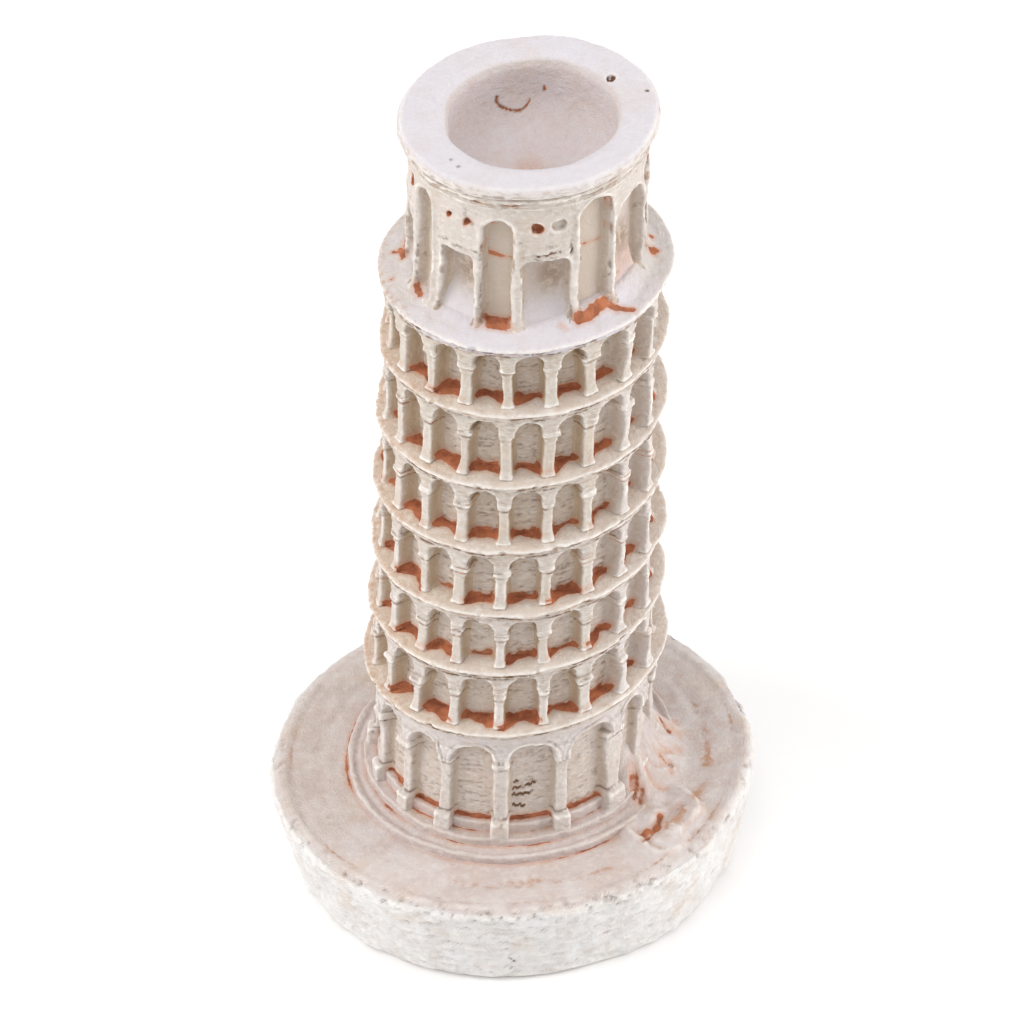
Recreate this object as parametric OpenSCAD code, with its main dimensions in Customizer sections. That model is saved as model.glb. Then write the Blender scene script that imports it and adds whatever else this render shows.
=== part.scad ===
// Miniature leaning bell tower on a round base, cast in courses.
// Millimetres, +Z up. The origin is the middle of the underside of the base disc.
// The tower leans towards +X, and -Y is its front.

/* [Base disc] */
// Radius of the base disc at its top edge
base_top_r = 27; // [24:0.5:30]
// Radius of the base disc at its foot
base_foot_r = 24.7; // [22:0.1:27]
// Thickness of the base disc
base_h = 11.5; // [8:0.5:16]
// Depth of the worn rings in the base's top
base_ring_depth = 0.35; // [0.1:0.05:0.8]

/* [Foot steps] */
// Radius of the lower step
step_lower_r = 18.4; // [17.5:0.1:20]
// Radius of the middle step
step_middle_r = 16.5; // [15.8:0.1:17.2]
// Radius of the upper step
step_upper_r = 15.1; // [14.8:0.1:15.6]
// Rise of the lower and of the middle step
step_rise = 0.9; // [0.5:0.1:1.2]
// Rise of the upper step
step_upper_rise = 1.2; // [0.6:0.1:1.6]

/* [Ground storey] */
// Height of the ground storey's cornice edge above the base disc
ground_h = 18.2; // [16.5:0.1:20]
// Radius of the ground storey's wall
ground_wall_r = 14.2; // [13.6:0.1:14.6]
// Radius of the face of the blind arcade
ground_arcade_r = 15.4; // [15.1:0.1:15.6]
// Number of bays in the blind arcade
ground_bays = 16; // [12:1:18]
// Width of a bay's opening
ground_bay_w = 4.3; // [3.6:0.1:4.4]
// Angle of the first pilaster, from +X
ground_phase = -7.7; // [-11:0.1:11]

/* [Galleries] */
// Height of gallery 1, from floor to floor
gallery_1_h = 8.4; // [7.8:0.1:10]
// Height of gallery 2
gallery_2_h = 8.1; // [7.8:0.1:10]
// Height of gallery 3
gallery_3_h = 8.8; // [7.8:0.1:10]
// Height of gallery 4
gallery_4_h = 9; // [7.8:0.1:10]
// Height of gallery 5
gallery_5_h = 9.7; // [7.8:0.1:10]
// Height of gallery 6
gallery_6_h = 9.1; // [7.8:0.1:10]
// Number of columns round a gallery
gallery_columns = 20; // [16:1:22]
// Angle of the first column, from +X
gallery_phase = 8.5; // [0:0.1:18]
// Radius of the wall behind the lowest gallery
gallery_wall_low_r = 14.2; // [13.6:0.1:14.4]
// Radius of the wall behind the highest gallery
gallery_wall_high_r = 12.8; // [12.2:0.1:13.2]
// Radius of a column's shaft
column_r = 0.6; // [0.45:0.05:0.7]
// How far the columns' faces stand back from the floor's edge
column_setback = 0.8; // [0.6:0.05:1]

/* [Cornices] */
// Thickness of a cornice
cornice_t = 1.8; // [1.4:0.1:2.2]
// Radius of the first cornice, over the ground storey
cornice_first_r = 17; // [16.6:0.1:17.6]
// Radius of the second cornice
cornice_low_r = 16.45; // [16.2:0.05:17]
// Radius of the sixth cornice
cornice_high_r = 15.8; // [15.5:0.05:16.2]
// Radius of the seventh cornice, the belfry's floor
belfry_floor_r = 16; // [15.5:0.1:17]

/* [Belfry] */
// Height of the belfry's arcade above its floor
belfry_h = 15.9; // [14:0.1:17]
// Radius of the belfry's face
belfry_r = 12.9; // [12.5:0.1:13.2]
// Radius of the wall at the back of the belfry's openings
belfry_wall_r = 11; // [10.6:0.1:11.4]
// Number of doors, and of niches, round the belfry
belfry_bays = 8; // [6:1:8]
// Angle of the first niche, from +X
belfry_phase = 29; // [0:0.5:45]
// Height of the entablature under the top rim
entablature_h = 1.7; // [1.2:0.1:2.4]

/* [Top rim and well] */
// Radius of the top rim
rim_r = 14; // [13.5:0.1:14.6]
// Thickness of the top rim
rim_t = 1.6; // [1.2:0.1:2.4]
// Radius of the round well inside the top rim
well_r = 9.1; // [8:0.1:9.8]
// Depth of the well below the rim
well_depth = 8; // [5:0.5:12]
// Radius where the well's wall rounds into its floor
well_fillet = 5; // [3:0.5:7]

/* [Lean] */
// Lean of the tower's axis towards +X, in degrees
lean = 4.1; // [0:0.1:5]
// Tilt of the first cornice against the lean, easing to level at the belfry, in degrees
course_tilt = 3.1; // [0:0.1:3.5]

/* [Hidden] */
$fn = 96;

stone = "#ebe5da";
shaded_stone = "#d9d1bf";
washed_stone = "#e4d3c4";

// Size of the half-spaces and drums that cut the courses
reach = 60;
// How far a cutter runs past the face it cuts
over = 1;
galleries = 6;
top_cornice = galleries + 1;
gallery_heights = [gallery_1_h, gallery_2_h, gallery_3_h, gallery_4_h, gallery_5_h, gallery_6_h];
steps_h = 2 * step_rise + step_upper_rise;

// Height of cornice i's walking surface above the underside of the base.
function course_z(i) = i == 1 ? base_h + ground_h : course_z(i - 1) + gallery_heights[i - 2];
// Tilt of cornice i about Y.
function tilt(i) = -course_tilt * (top_cornice - i) / galleries;
// Radius of cornice i.
function cornice_r(i) =
    i == 1 ? cornice_first_r
    : i == top_cornice ? belfry_floor_r
    : cornice_low_r + (cornice_high_r - cornice_low_r) * (i - 2) / (galleries - 2);
// Radius of the wall behind gallery i.
function gallery_wall_r(i) =
    gallery_wall_low_r + (gallery_wall_high_r - gallery_wall_low_r) * (i - 1) / (galleries - 1);
// Radius of the face of gallery i's columns.
function column_face_r(i) = cornice_r(i) - column_setback;

belfry_top_z = course_z(top_cornice) + belfry_h;
entablature_top_z = belfry_top_z + entablature_h;
rim_top_z = entablature_top_z + rim_t;

// Gallery columns and arches
column_pitch = 360 / gallery_columns;
gallery_arch_w = 3.4;
gallery_arch_h = gallery_arch_w / 2 + 0.3;
capital_h = 0.55;
capital_w = 1.6;
capital_proud = 0.15;
column_foot_h = 0.5;
column_foot_w = 1.7;
column_foot_proud = 0.25;

// Ground arcade
ground_pitch = 360 / ground_bays;
ground_springing_z = base_h + 12.1;
ground_column_r = 0.85;
ground_column_proud = 0.2;
ground_column_depth = 3;
plinth_w = 2.1;
plinth_h = 1.5;
plinth_proud = 0.2;
ground_capital_h = 1.1;
ground_capital_proud = 0.4;

// Belfry openings
belfry_pitch = 360 / belfry_bays;
opening_depth = 4;
niche_w = 2.6;
niche_h = 14.6;
door_w = 4.4;
door_h = 8.8;
door_phase = belfry_phase + belfry_pitch / 2;
eyelet_r = 0.85;
eyelet_z = 13.3;
eyelet_spread = 5.5;

// Places children on the leaning axis at height z, level with the base.
module on_axis(z) {
    translate([(z - base_h) * tan(lean), 0, z])
        children();
}

// Places children in the frame of cornice i's walking surface.
module on_course(i) {
    on_axis(course_z(i))
        rotate([0, tilt(i), 0])
            children();
}

// A drum of radius r along the leaning axis, longer than the whole tower.
module leaning_drum(r) {
    on_axis(base_h)
        rotate([0, lean, 0])
            translate([0, 0, -reach])
                cylinder(r = r, h = 3 * reach);
}

// Everything above cornice i's walking surface, up to the next few courses.
module above_course(i) {
    on_course(i)
        translate([-reach, -reach, 0])
            cube([2 * reach, 2 * reach, reach / 2]);
}

// Everything below a plane that lies drop under cornice i's walking surface.
module below_course(i, drop) {
    on_course(i)
        translate([-reach, -reach, -drop - reach / 2])
            cube([2 * reach, 2 * reach, reach / 2]);
}

// A level slab between two heights.
module slab(z0, z1) {
    translate([-reach, -reach, z0])
        cube([2 * reach, 2 * reach, z1 - z0]);
}

// Repeats children count times about Z, n degrees apart from the phase.
module ring_of(count, phase) {
    for (k = [0 : count - 1])
        rotate([0, 0, phase + k * 360 / count])
            children();
}

// Repeats upright children at radius r, each leaning with the tower about its own foot.
// The floor they stand on is tilted by floor_tilt.
module leaning_ring_of(count, phase, r, floor_tilt) {
    for (k = [0 : count - 1]) {
        a = phase + k * 360 / count;
        translate([r * cos(a), r * sin(a), 0])
            rotate([0, lean - floor_tilt, 0])
                rotate([0, 0, a])
                    children();
    }
}

// An upright opening with a round head, cut radially: its face is at the origin.
module arched_opening(w, h, depth) {
    translate([-depth, -w / 2, -over])
        cube([2 * depth, w, h - w / 2 + over]);
    translate([-depth, 0, h - w / 2])
        rotate([0, 90, 0])
            cylinder(d = w, h = 2 * depth);
}

// ---- Base and steps ----

module base_disc() {
    edge = 0.8;
    ring_in = 20.6;
    ring_out = 24.8;
    color(stone)
        rotate_extrude()
            polygon([
                [0, 0],
                [base_foot_r - edge / 2, 0],
                [base_foot_r, edge / 2],
                [base_top_r, base_h - edge],
                [base_top_r - edge / 3, base_h - edge / 3],
                [base_top_r - edge, base_h - base_ring_depth],
                [ring_out, base_h - base_ring_depth],
                [ring_out - edge, base_h],
                [ring_in + edge / 2, base_h],
                [ring_in, base_h - base_ring_depth],
                [ring_in - edge / 2, base_h],
                [0, base_h]
            ]);
}

// A round step with a softened nosing, its underside at the origin.
module step(r, h) {
    nosing = 0.25;
    rotate_extrude()
        polygon([[0, 0], [r, 0], [r, h - nosing], [r - nosing, h], [0, h]]);
}

// The lower step has a groove round its tread, inside a raised outer ring.
module foot_step_lower() {
    groove = 0.3;
    ring_w = 0.8;
    color(washed_stone)
        on_axis(base_h)
            difference() {
                step(step_lower_r, step_rise);
                translate([0, 0, step_rise - groove])
                    difference() {
                        cylinder(r = step_lower_r - ring_w, h = groove + over);
                        translate([0, 0, -over])
                            cylinder(r = step_middle_r + groove, h = groove + 3 * over);
                    }
            }
}

module foot_step_middle() {
    color(stone)
        on_axis(base_h + step_rise)
            step(step_middle_r, step_rise);
}

module foot_step_upper() {
    color(stone)
        on_axis(base_h + 2 * step_rise)
            step(step_upper_r, step_upper_rise);
}

// ---- Ground storey ----

module ground_wall() {
    color(shaded_stone)
        intersection() {
            leaning_drum(ground_wall_r);
            above_base();
            below_course(1, cornice_t);
        }
}

// Everything above the top of the foot steps.
module above_base() {
    slab(base_h + steps_h, base_h + reach);
}

// One half-column of the blind arcade, with its plinth and capital.
// Its axis is at the origin and its foot over below it.
module ground_column(h) {
    d = ground_column_depth;
    translate([-d, -plinth_w / 2, -over])
        cube([d + plinth_proud, plinth_w, plinth_h + over]);
    translate([-d, -ground_column_r, -over])
        cube([d, 2 * ground_column_r, h + 2 * over]);
    translate([0, 0, -over])
        cylinder(r = ground_column_r, h = h + 2 * over);
    translate([-d, -plinth_w / 2, h - ground_capital_h])
        cube([d + ground_capital_proud, plinth_w, ground_capital_h + over]);
}

module ground_columns() {
    foot_z = base_h + steps_h;
    axis_r = ground_arcade_r + ground_column_proud - ground_column_r;
    color(stone)
        difference() {
            on_axis(foot_z)
                leaning_ring_of(ground_bays, ground_phase, axis_r, 0)
                    ground_column(ground_springing_z - foot_z);
            leaning_drum(ground_wall_r);
            slab(foot_z - reach, foot_z);
            slab(ground_springing_z, ground_springing_z + reach);
        }
}

module ground_arches() {
    color(stone)
        difference() {
            intersection() {
                leaning_drum(ground_arcade_r);
                slab(ground_springing_z, base_h + reach);
                below_course(1, cornice_t);
            }
            leaning_drum(ground_wall_r);
            on_axis(ground_springing_z)
                ring_of(ground_bays, ground_phase + ground_pitch / 2)
                    translate([ground_arcade_r, 0, 0])
                        arched_opening(ground_bay_w, ground_bay_w / 2, opening_depth);
        }
}

// ---- Cornices ----

// A floor slab with a rounded edge and a stepped moulding under it.
module cornice(i) {
    r = cornice_r(i);
    lip = 0.35;
    bead = 0.5;
    tuck = 0.9;
    color(stone)
        on_course(i)
            rotate_extrude()
                polygon([
                    [0, -cornice_t],
                    [r - tuck, -cornice_t],
                    [r - tuck, -cornice_t + bead],
                    [r - bead, -cornice_t + 2 * bead],
                    [r, -cornice_t + 2 * bead],
                    [r, -lip],
                    [r - lip, 0],
                    [0, 0]
                ]);
}

module cornice_1() { cornice(1); }
module cornice_2() { cornice(2); }
module cornice_3() { cornice(3); }
module cornice_4() { cornice(4); }
module cornice_5() { cornice(5); }
module cornice_6() { cornice(6); }
module cornice_7() { cornice(7); }

// ---- Galleries ----

module gallery_wall(i) {
    color(shaded_stone)
        intersection() {
            leaning_drum(gallery_wall_r(i));
            above_course(i);
            below_course(i + 1, cornice_t);
        }
}

// One gallery column: a deep fin back to the wall, a round shaft, a foot and a capital.
// Its face is at the origin, and it runs past its foot and its head for the courses to cut.
module gallery_column(h, depth) {
    translate([-depth, -column_r, -over])
        cube([depth - column_r, 2 * column_r, h + 2 * over]);
    translate([-column_r, 0, -over])
        cylinder(r = column_r, h = h + 2 * over);
    translate([-depth, -column_foot_w / 2, -over])
        cube([depth + column_foot_proud, column_foot_w, column_foot_h + over]);
    translate([-depth, -capital_w / 2, h - capital_h])
        cube([depth + capital_proud, capital_w, capital_h + over]);
}

module gallery_columns_of(i) {
    h = gallery_heights[i - 1] - cornice_t - gallery_arch_h;
    depth = column_face_r(i) - gallery_wall_r(i) + over;
    color(stone)
        difference() {
            intersection() {
                on_course(i)
                    leaning_ring_of(gallery_columns, gallery_phase, column_face_r(i), tilt(i))
                        gallery_column(h, depth);
                above_course(i);
                below_course(i + 1, cornice_t + gallery_arch_h);
            }
            leaning_drum(gallery_wall_r(i));
        }
}

// The arched band over gallery i's columns, under cornice i + 1.
module gallery_arches_of(i) {
    color(stone)
        difference() {
            on_course(i + 1)
                difference() {
                    translate([0, 0, -cornice_t - gallery_arch_h])
                        cylinder(r = column_face_r(i + 1), h = gallery_arch_h);
                    translate([0, 0, -cornice_t - gallery_arch_h])
                        ring_of(gallery_columns, gallery_phase + column_pitch / 2)
                            translate([column_face_r(i + 1), 0, 0])
                                arched_opening(gallery_arch_w, gallery_arch_w / 2, opening_depth);
                }
            leaning_drum(gallery_wall_r(i));
        }
}

module gallery_1_wall() { gallery_wall(1); }
module gallery_2_wall() { gallery_wall(2); }
module gallery_3_wall() { gallery_wall(3); }
module gallery_4_wall() { gallery_wall(4); }
module gallery_5_wall() { gallery_wall(5); }
module gallery_6_wall() { gallery_wall(6); }

module gallery_1_columns() { gallery_columns_of(1); }
module gallery_2_columns() { gallery_columns_of(2); }
module gallery_3_columns() { gallery_columns_of(3); }
module gallery_4_columns() { gallery_columns_of(4); }
module gallery_5_columns() { gallery_columns_of(5); }
module gallery_6_columns() { gallery_columns_of(6); }

module gallery_1_arches() { gallery_arches_of(1); }
module gallery_2_arches() { gallery_arches_of(2); }
module gallery_3_arches() { gallery_arches_of(3); }
module gallery_4_arches() { gallery_arches_of(4); }
module gallery_5_arches() { gallery_arches_of(5); }
module gallery_6_arches() { gallery_arches_of(6); }

// ---- Belfry ----

// The well as a solid to cut away, with straight sides and a rounded floor.
module well() {
    arc_steps = 6;
    corner = [for (k = [0 : arc_steps])
        let (a = 90 * k / arc_steps)
        [well_r - well_fillet * (1 - sin(a)), well_fillet * (1 - cos(a)) - well_depth]];
    on_axis(rim_top_z)
        rotate_extrude()
            polygon(concat([[0, over], [0, -well_depth]], corner, [[well_r, over]]));
}

module belfry_wall() {
    color(shaded_stone)
        difference() {
            intersection() {
                leaning_drum(belfry_wall_r);
                above_course(top_cornice);
                slab(base_h, belfry_top_z);
            }
            well();
        }
}

module belfry_arcade() {
    color(stone)
        difference() {
            intersection() {
                leaning_drum(belfry_r);
                above_course(top_cornice);
                slab(base_h, belfry_top_z);
            }
            leaning_drum(belfry_wall_r);
            on_course(top_cornice) {
                leaning_ring_of(belfry_bays, belfry_phase, belfry_r, tilt(top_cornice))
                    arched_opening(niche_w, niche_h, opening_depth);
                leaning_ring_of(belfry_bays, door_phase, belfry_r, tilt(top_cornice))
                    door_opening();
                for (side = [-1, 1])
                    leaning_ring_of(belfry_bays, door_phase + side * eyelet_spread,
                                    belfry_r, tilt(top_cornice))
                        eyelet_opening();
            }
        }
}

// A square-headed doorway, cut radially: its face is at the origin.
module door_opening() {
    translate([-opening_depth, -door_w / 2, -over])
        cube([2 * opening_depth, door_w, door_h + over]);
}

// One of the two small round holes over a doorway.
module eyelet_opening() {
    translate([-opening_depth, 0, eyelet_z])
        rotate([0, 90, 0])
            cylinder(r = eyelet_r, h = 2 * opening_depth);
}

// Two stepped mouldings between the belfry's arcade and the rim.
module belfry_entablature() {
    lower_r = belfry_r + 0.3;
    upper_r = rim_r - 0.5;
    fillet = 0.2;
    color(stone)
        difference() {
            on_axis(belfry_top_z)
                rotate_extrude()
                    polygon([
                        [0, 0],
                        [lower_r, 0],
                        [lower_r, entablature_h / 2],
                        [upper_r - fillet, entablature_h / 2],
                        [upper_r, entablature_h / 2 + fillet],
                        [upper_r, entablature_h],
                        [0, entablature_h]
                    ]);
            well();
        }
}

module top_rim() {
    edge = 0.45;
    color(washed_stone)
        difference() {
            on_axis(entablature_top_z)
                rotate_extrude()
                    polygon([
                        [0, 0],
                        [rim_r - edge, 0],
                        [rim_r, edge],
                        [rim_r, rim_t - edge],
                        [rim_r - edge, rim_t],
                        [0, rim_t]
                    ]);
            well();
        }
}

base_disc();
foot_step_lower();
foot_step_middle();
foot_step_upper();
ground_wall();
ground_columns();
ground_arches();
cornice_1();
cornice_2();
cornice_3();
cornice_4();
cornice_5();
cornice_6();
cornice_7();
gallery_1_wall();
gallery_2_wall();
gallery_3_wall();
gallery_4_wall();
gallery_5_wall();
gallery_6_wall();
gallery_1_columns();
gallery_2_columns();
gallery_3_columns();
gallery_4_columns();
gallery_5_columns();
gallery_6_columns();
gallery_1_arches();
gallery_2_arches();
gallery_3_arches();
gallery_4_arches();
gallery_5_arches();
gallery_6_arches();
belfry_wall();
belfry_arcade();
belfry_entablature();
top_rim();
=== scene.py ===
"""A miniature leaning bell tower, cast in pale resin with a terracotta wash, on a pale studio floor.

Every piece is built in the tower's own coordinates: th is the angle round the axis in radians, r is the
distance from it and h is the height above the base disc's top, both in millimetres. in_frame() leans them.
"""

import math
import bpy
import numpy as np
from mathutils import Matrix, Vector


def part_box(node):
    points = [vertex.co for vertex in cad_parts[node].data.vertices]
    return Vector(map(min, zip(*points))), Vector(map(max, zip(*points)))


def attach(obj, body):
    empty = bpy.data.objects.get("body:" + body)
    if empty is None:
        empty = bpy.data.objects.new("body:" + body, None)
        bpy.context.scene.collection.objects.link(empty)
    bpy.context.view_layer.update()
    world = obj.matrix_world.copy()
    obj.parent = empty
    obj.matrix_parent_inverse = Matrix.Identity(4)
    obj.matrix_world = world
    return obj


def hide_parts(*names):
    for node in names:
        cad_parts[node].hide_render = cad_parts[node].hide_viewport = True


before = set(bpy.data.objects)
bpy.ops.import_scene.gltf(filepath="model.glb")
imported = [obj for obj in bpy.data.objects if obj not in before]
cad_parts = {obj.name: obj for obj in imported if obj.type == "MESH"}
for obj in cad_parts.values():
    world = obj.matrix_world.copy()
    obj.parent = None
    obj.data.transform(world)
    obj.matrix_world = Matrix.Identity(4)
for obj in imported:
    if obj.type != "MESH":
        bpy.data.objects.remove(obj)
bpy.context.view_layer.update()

MM = 0.001
FULL = 2 * math.pi
DEGREES = 57.3  # in a radian
GALLERIES = 6
COLUMNS = 20
COLUMN_PHASE = math.radians(8.5)
BAYS = 16
BAY_PHASE = math.radians(-7.7)
DOORS = 8  # doorways of the belfry, with a niche between each two
NICHE_PHASE = math.radians(29)
DOOR_PHASE = NICHE_PHASE + FULL / DOORS / 2
COURSE_TILT = math.radians(3.1)
CORNICE_T = 1.8  # thickness of a floor slab
LIP = 0.35  # how far in from its edge a slab begins to fall
STEP = 0.17  # distance between mesh points
TUCK = 0.04  # how far a piece is sunk into what it stands against
BEHIND = 0.35  # how far a pierced ring reaches back into its wall
INSET = 0.6  # how far inside its wall's face the grid of such a ring begins
SUNK = 0.3  # how far a column reaches down into its floor
COURSE_GAP = 0.52  # about the height from one groove of a wall to the next
SCORED = np.array([1.0, 1.0, 2.2])  # squeezes noise into level marks
DRY = -1.0  # the wash mask where there is no wash
GROUND_SEED = 31
BAY_SEED = 300
LUMPED = (9, 10)  # pilasters with a lump at the head
WIDE = 14  # the widest pilaster
LEFT_DOOR, FRONT_DOOR, TALL_DOOR = 4, 5, 6
LEFT_NICHE, RIGHT_NICHE = 5, 6  # those beside the front door
BARRED = (5, 6, 7)  # niches that a bar of wash crosses
NICHE_HALF = math.radians(9.5)
SKIRT = -12  # where the soft skirt lies, in degrees round the tower
PATCH = -37  # where the worn patch on the base lies
EYE_ANGLE = math.radians(5.5)
EYE_LEVEL = 13.3


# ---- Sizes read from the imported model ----

def node_box(name):
    low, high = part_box(name)
    return np.array(low) / MM, np.array(high) / MM


BASE_H = node_box("base_disc")[1][2]
BASE_R = node_box("base_disc")[1][0]


def half_width(name):
    low, high = node_box(name)
    return (high[1] - low[1]) / 2


def top_of(name):
    return node_box(name)[1][2] - BASE_H


def course_tilt(i):
    return COURSE_TILT * (GALLERIES + 1 - i) / GALLERIES


def course_level(i):
    """Height of cornice i's walking surface on the axis."""
    name = f"cornice_{i}"
    return top_of(name) - (half_width(name) - LIP) * math.sin(course_tilt(i))


LEVEL = [course_level(i) for i in range(1, GALLERIES + 2)]
LEDGE_R = [half_width(f"cornice_{i}") for i in range(1, GALLERIES + 2)]
WALL_R = [half_width(f"gallery_{i}_wall") for i in range(1, GALLERIES + 1)]
STEP_R = [half_width(f"foot_step_{n}") for n in ("lower", "middle", "upper")]
STEP_TOP = [top_of(f"foot_step_{n}") for n in ("lower", "middle", "upper")]
GROUND_WALL_R = half_width("ground_wall")
ARCADE_R = half_width("ground_arches")
BELFRY_R = half_width("belfry_arcade")
BELFRY_WALL_R = half_width("belfry_wall")
BELFRY_TOP = top_of("belfry_arcade")
ENTABLATURE_TOP = top_of("belfry_entablature")
RIM_TOP = top_of("top_rim")
RIM_R = half_width("top_rim")
WELL_R = 9.1
WELL_DEPTH = 8.0

rim_low, rim_high = node_box("top_rim")
LEAN = (rim_low[0] + rim_high[0]) / 2 / (rim_low[2] - BASE_H)
TILT_H = [-20, 0, STEP_TOP[2]] + LEVEL + [BELFRY_TOP, 200]
TILT = [0, 0, 0] + [math.tan(course_tilt(i)) for i in range(1, GALLERIES + 2)] + [0, 0]


def in_frame(th, r, h):
    """Tower coordinates to the row frame, in millimetres."""
    out = r * np.cos(th)
    x = np.maximum(h, 0) * LEAN + out
    return np.stack([x, r * np.sin(th), BASE_H + h + out * np.interp(h, TILT_H, TILT)], -1)


# ---- Noise ----

LATTICE = (np.random.default_rng(11).random(64 ** 3) * 2 - 1).astype(np.float32)


def noise(p, size, seed=0):
    """Smooth noise from -1 to 1 at points p, with lumps of that size."""
    q = np.asarray(p, np.float32) / size + 500.37 + 7.31 * seed
    cell = np.floor(q)
    f = q - cell
    f = f * f * (3 - 2 * f)
    i = cell.astype(np.int64)
    x = [((i[..., 0] + d) & 63) << 12 for d in (0, 1)]
    y = [((i[..., 1] + d) & 63) << 6 for d in (0, 1)]
    z = [(i[..., 2] + d) & 63 for d in (0, 1)]
    total = 0
    for a in (0, 1):
        wa = f[..., 0] if a else 1 - f[..., 0]
        for b in (0, 1):
            wb = wa * (f[..., 1] if b else 1 - f[..., 1])
            low = LATTICE[x[a] | y[b] | z[0]]
            high = LATTICE[x[a] | y[b] | z[1]]
            total = total + wb * (low + (high - low) * f[..., 2])
    return total


def layered(p, size, octaves=3, seed=0):
    total, weight = 0, 1.0
    for k in range(octaves):
        total = total + weight * noise(p, size / 2 ** k, seed + k)
        weight *= 0.5
    return total


def wander(th, size_deg, seed=0, h=0.0):
    """Noise round the tower in lumps of that many degrees, and of one unit along h."""
    k = math.degrees(1) / size_deg
    p = np.stack(np.broadcast_arrays(np.cos(th) * k, np.sin(th) * k, h), -1)
    return noise(p, 1.0, seed)


def ramp(x, low, high):
    t = np.clip((x - low) / (high - low), 0, 1)
    return t * t * (3 - 2 * t)


def bump(x, width):
    return np.exp(-(x / width) ** 2)


def smooth_min(a, b, k):
    t = np.clip(0.5 + 0.5 * (b - a) / k, 0, 1)
    return b + (a - b) * t - k * t * (1 - t)


def smooth_max(a, b, k):
    return -smooth_min(-a, -b, k)


def turn(th):
    """An angle brought between minus and plus half a turn."""
    return (th + math.pi) % FULL - math.pi


def facing(th, degrees, low, high):
    """1 on the side that faces that way, 0 on the rest, by the cosine of the angle from it."""
    return ramp(np.cos(th - math.radians(degrees)), low, high)


def draw(seed, places, kinds):
    """Random numbers from 0 to 1: a row of them for each place."""
    return np.random.default_rng(seed).random((places, kinds))


# ---- Meshes ----

def gather(count, where, values):
    """The rows of values summed at the vertices they belong to."""
    return np.stack([np.bincount(where, column, count) for column in values.T], 1)


def normals_of(v, quads):
    n = np.cross(v[quads[:, 2]] - v[quads[:, 0]], v[quads[:, 3]] - v[quads[:, 1]])
    n = sum(gather(len(v), corner, n) for corner in quads.T)
    return n / np.maximum(np.linalg.norm(n, axis=1, keepdims=True), 1e-12)


def neighbour_mean(values, quads):
    """Each vertex's mean over the far ends of its edges."""
    total = number = 0
    for a, b in zip(quads.T, np.roll(quads, -1, 1).T):
        for near, far in ((a, b), (b, a)):
            total = total + gather(len(values), near, values[far])
            number = number + np.bincount(near, minlength=len(values))
    return total / np.maximum(number, 1)[:, None]


def outward(v, quads):
    """The quads, turned so that the closed mesh encloses a positive volume."""
    a, b, c, d = (v[quads[:, k]] for k in range(4))
    volume = np.einsum("ij,ij->", a, np.cross(b, c)) + np.einsum("ij,ij->", a, np.cross(c, d))
    return quads if volume > 0 else quads[:, ::-1]


def ring_quads(rows, columns, across):
    """Quads of a grid that closes on itself the first way, and the second way too if across is columns."""
    i, j = np.meshgrid(np.arange(rows), np.arange(across), indexing="ij")
    at = lambda a, b: ((a % rows) * columns + b % columns).ravel()
    return np.stack([at(i, j), at(i + 1, j), at(i + 1, j + 1), at(i, j + 1)], 1)


EDGES = [(a, b) for a in range(8) for b in range(a + 1, 8) if bin(a ^ b).count("1") == 1]


def offset(corner):
    return np.array([corner >> 2 & 1, corner >> 1 & 1, corner & 1])


def nets(f):
    """The surface where f is zero, as grid positions and quads. The first axis closes on itself."""
    size = f.shape
    inside = f < 0
    around = np.concatenate([inside, inside[:1]])
    n = [size[0], size[1] - 1, size[2] - 1]
    count = np.zeros(n, np.int8)
    for c in range(8):
        a, b, d = offset(c)
        count += around[a:a + n[0], b:b + n[1], d:d + n[2]]
    cells = np.argwhere((count > 0) & (count < 8))
    index = np.full(n, -1)
    index[tuple(cells.T)] = np.arange(len(cells))
    corner_f = []
    for c in range(8):
        at = cells + offset(c)
        corner_f.append(f[at[:, 0] % size[0], at[:, 1], at[:, 2]])
    total, hits = np.zeros((len(cells), 3)), np.zeros(len(cells))
    for a, b in EDGES:
        fa, fb = corner_f[a], corner_f[b]
        hit = (fa < 0) != (fb < 0)
        t = np.where(hit, fa / np.where(hit, fa - fb, 1), 0)[:, None]
        total += hit[:, None] * (offset(a) + t * (offset(b) - offset(a)))
        hits += hit
    return cells + total / hits[:, None], net_faces(inside, around, index)


def net_faces(inside, around, index):
    """A quad across each grid edge whose ends lie on different sides."""
    faces = []
    for axis in range(3):
        at = np.argwhere(np.diff(inside if axis else around, axis=axis))
        rising = inside[tuple(at.T)]
        ring = []
        for du, dw in ((0, 0), (-1, 0), (-1, -1), (0, -1)):
            cell = at.copy()
            cell[:, (axis + 1) % 3] += du
            cell[:, (axis + 2) % 3] += dw
            ring.append(index[tuple(cell.T)])
        quads = np.stack(ring, 1)
        quads[~rising] = quads[~rising][:, ::-1]
        faces.append(quads)
    return np.concatenate(faces)


def grid(r_low, r_high, h_low, h_high, step=STEP):
    """Angles, radii and heights of a grid round the tower, ready to spread over each other."""
    number = int(FULL * r_high / step)
    th = np.arange(number) * FULL / number
    r = np.arange(r_low, r_high + step, step)
    h = np.arange(h_low, h_high + step, step)
    return th[:, None, None], r[None, :, None], h[None, None, :]


def cut(f, *limits):
    """f, kept to where every limit is negative."""
    for limit in limits:
        f = np.maximum(f, limit)
    return f


def surface_of(f, axes, level=0):
    """The net of f: its tower coordinates, its vertices with heights counted from level, and its quads."""
    at, quads = nets(f)
    th, r, h = (a.flat[0] + at[:, k] * (a.flat[1] - a.flat[0]) for k, a in enumerate(axes))
    return th, r, h, in_frame(th, r, level + h), quads


def add_object(name, data):
    obj = bpy.data.objects.new(name, data)
    bpy.context.collection.objects.link(obj)
    return obj


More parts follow.
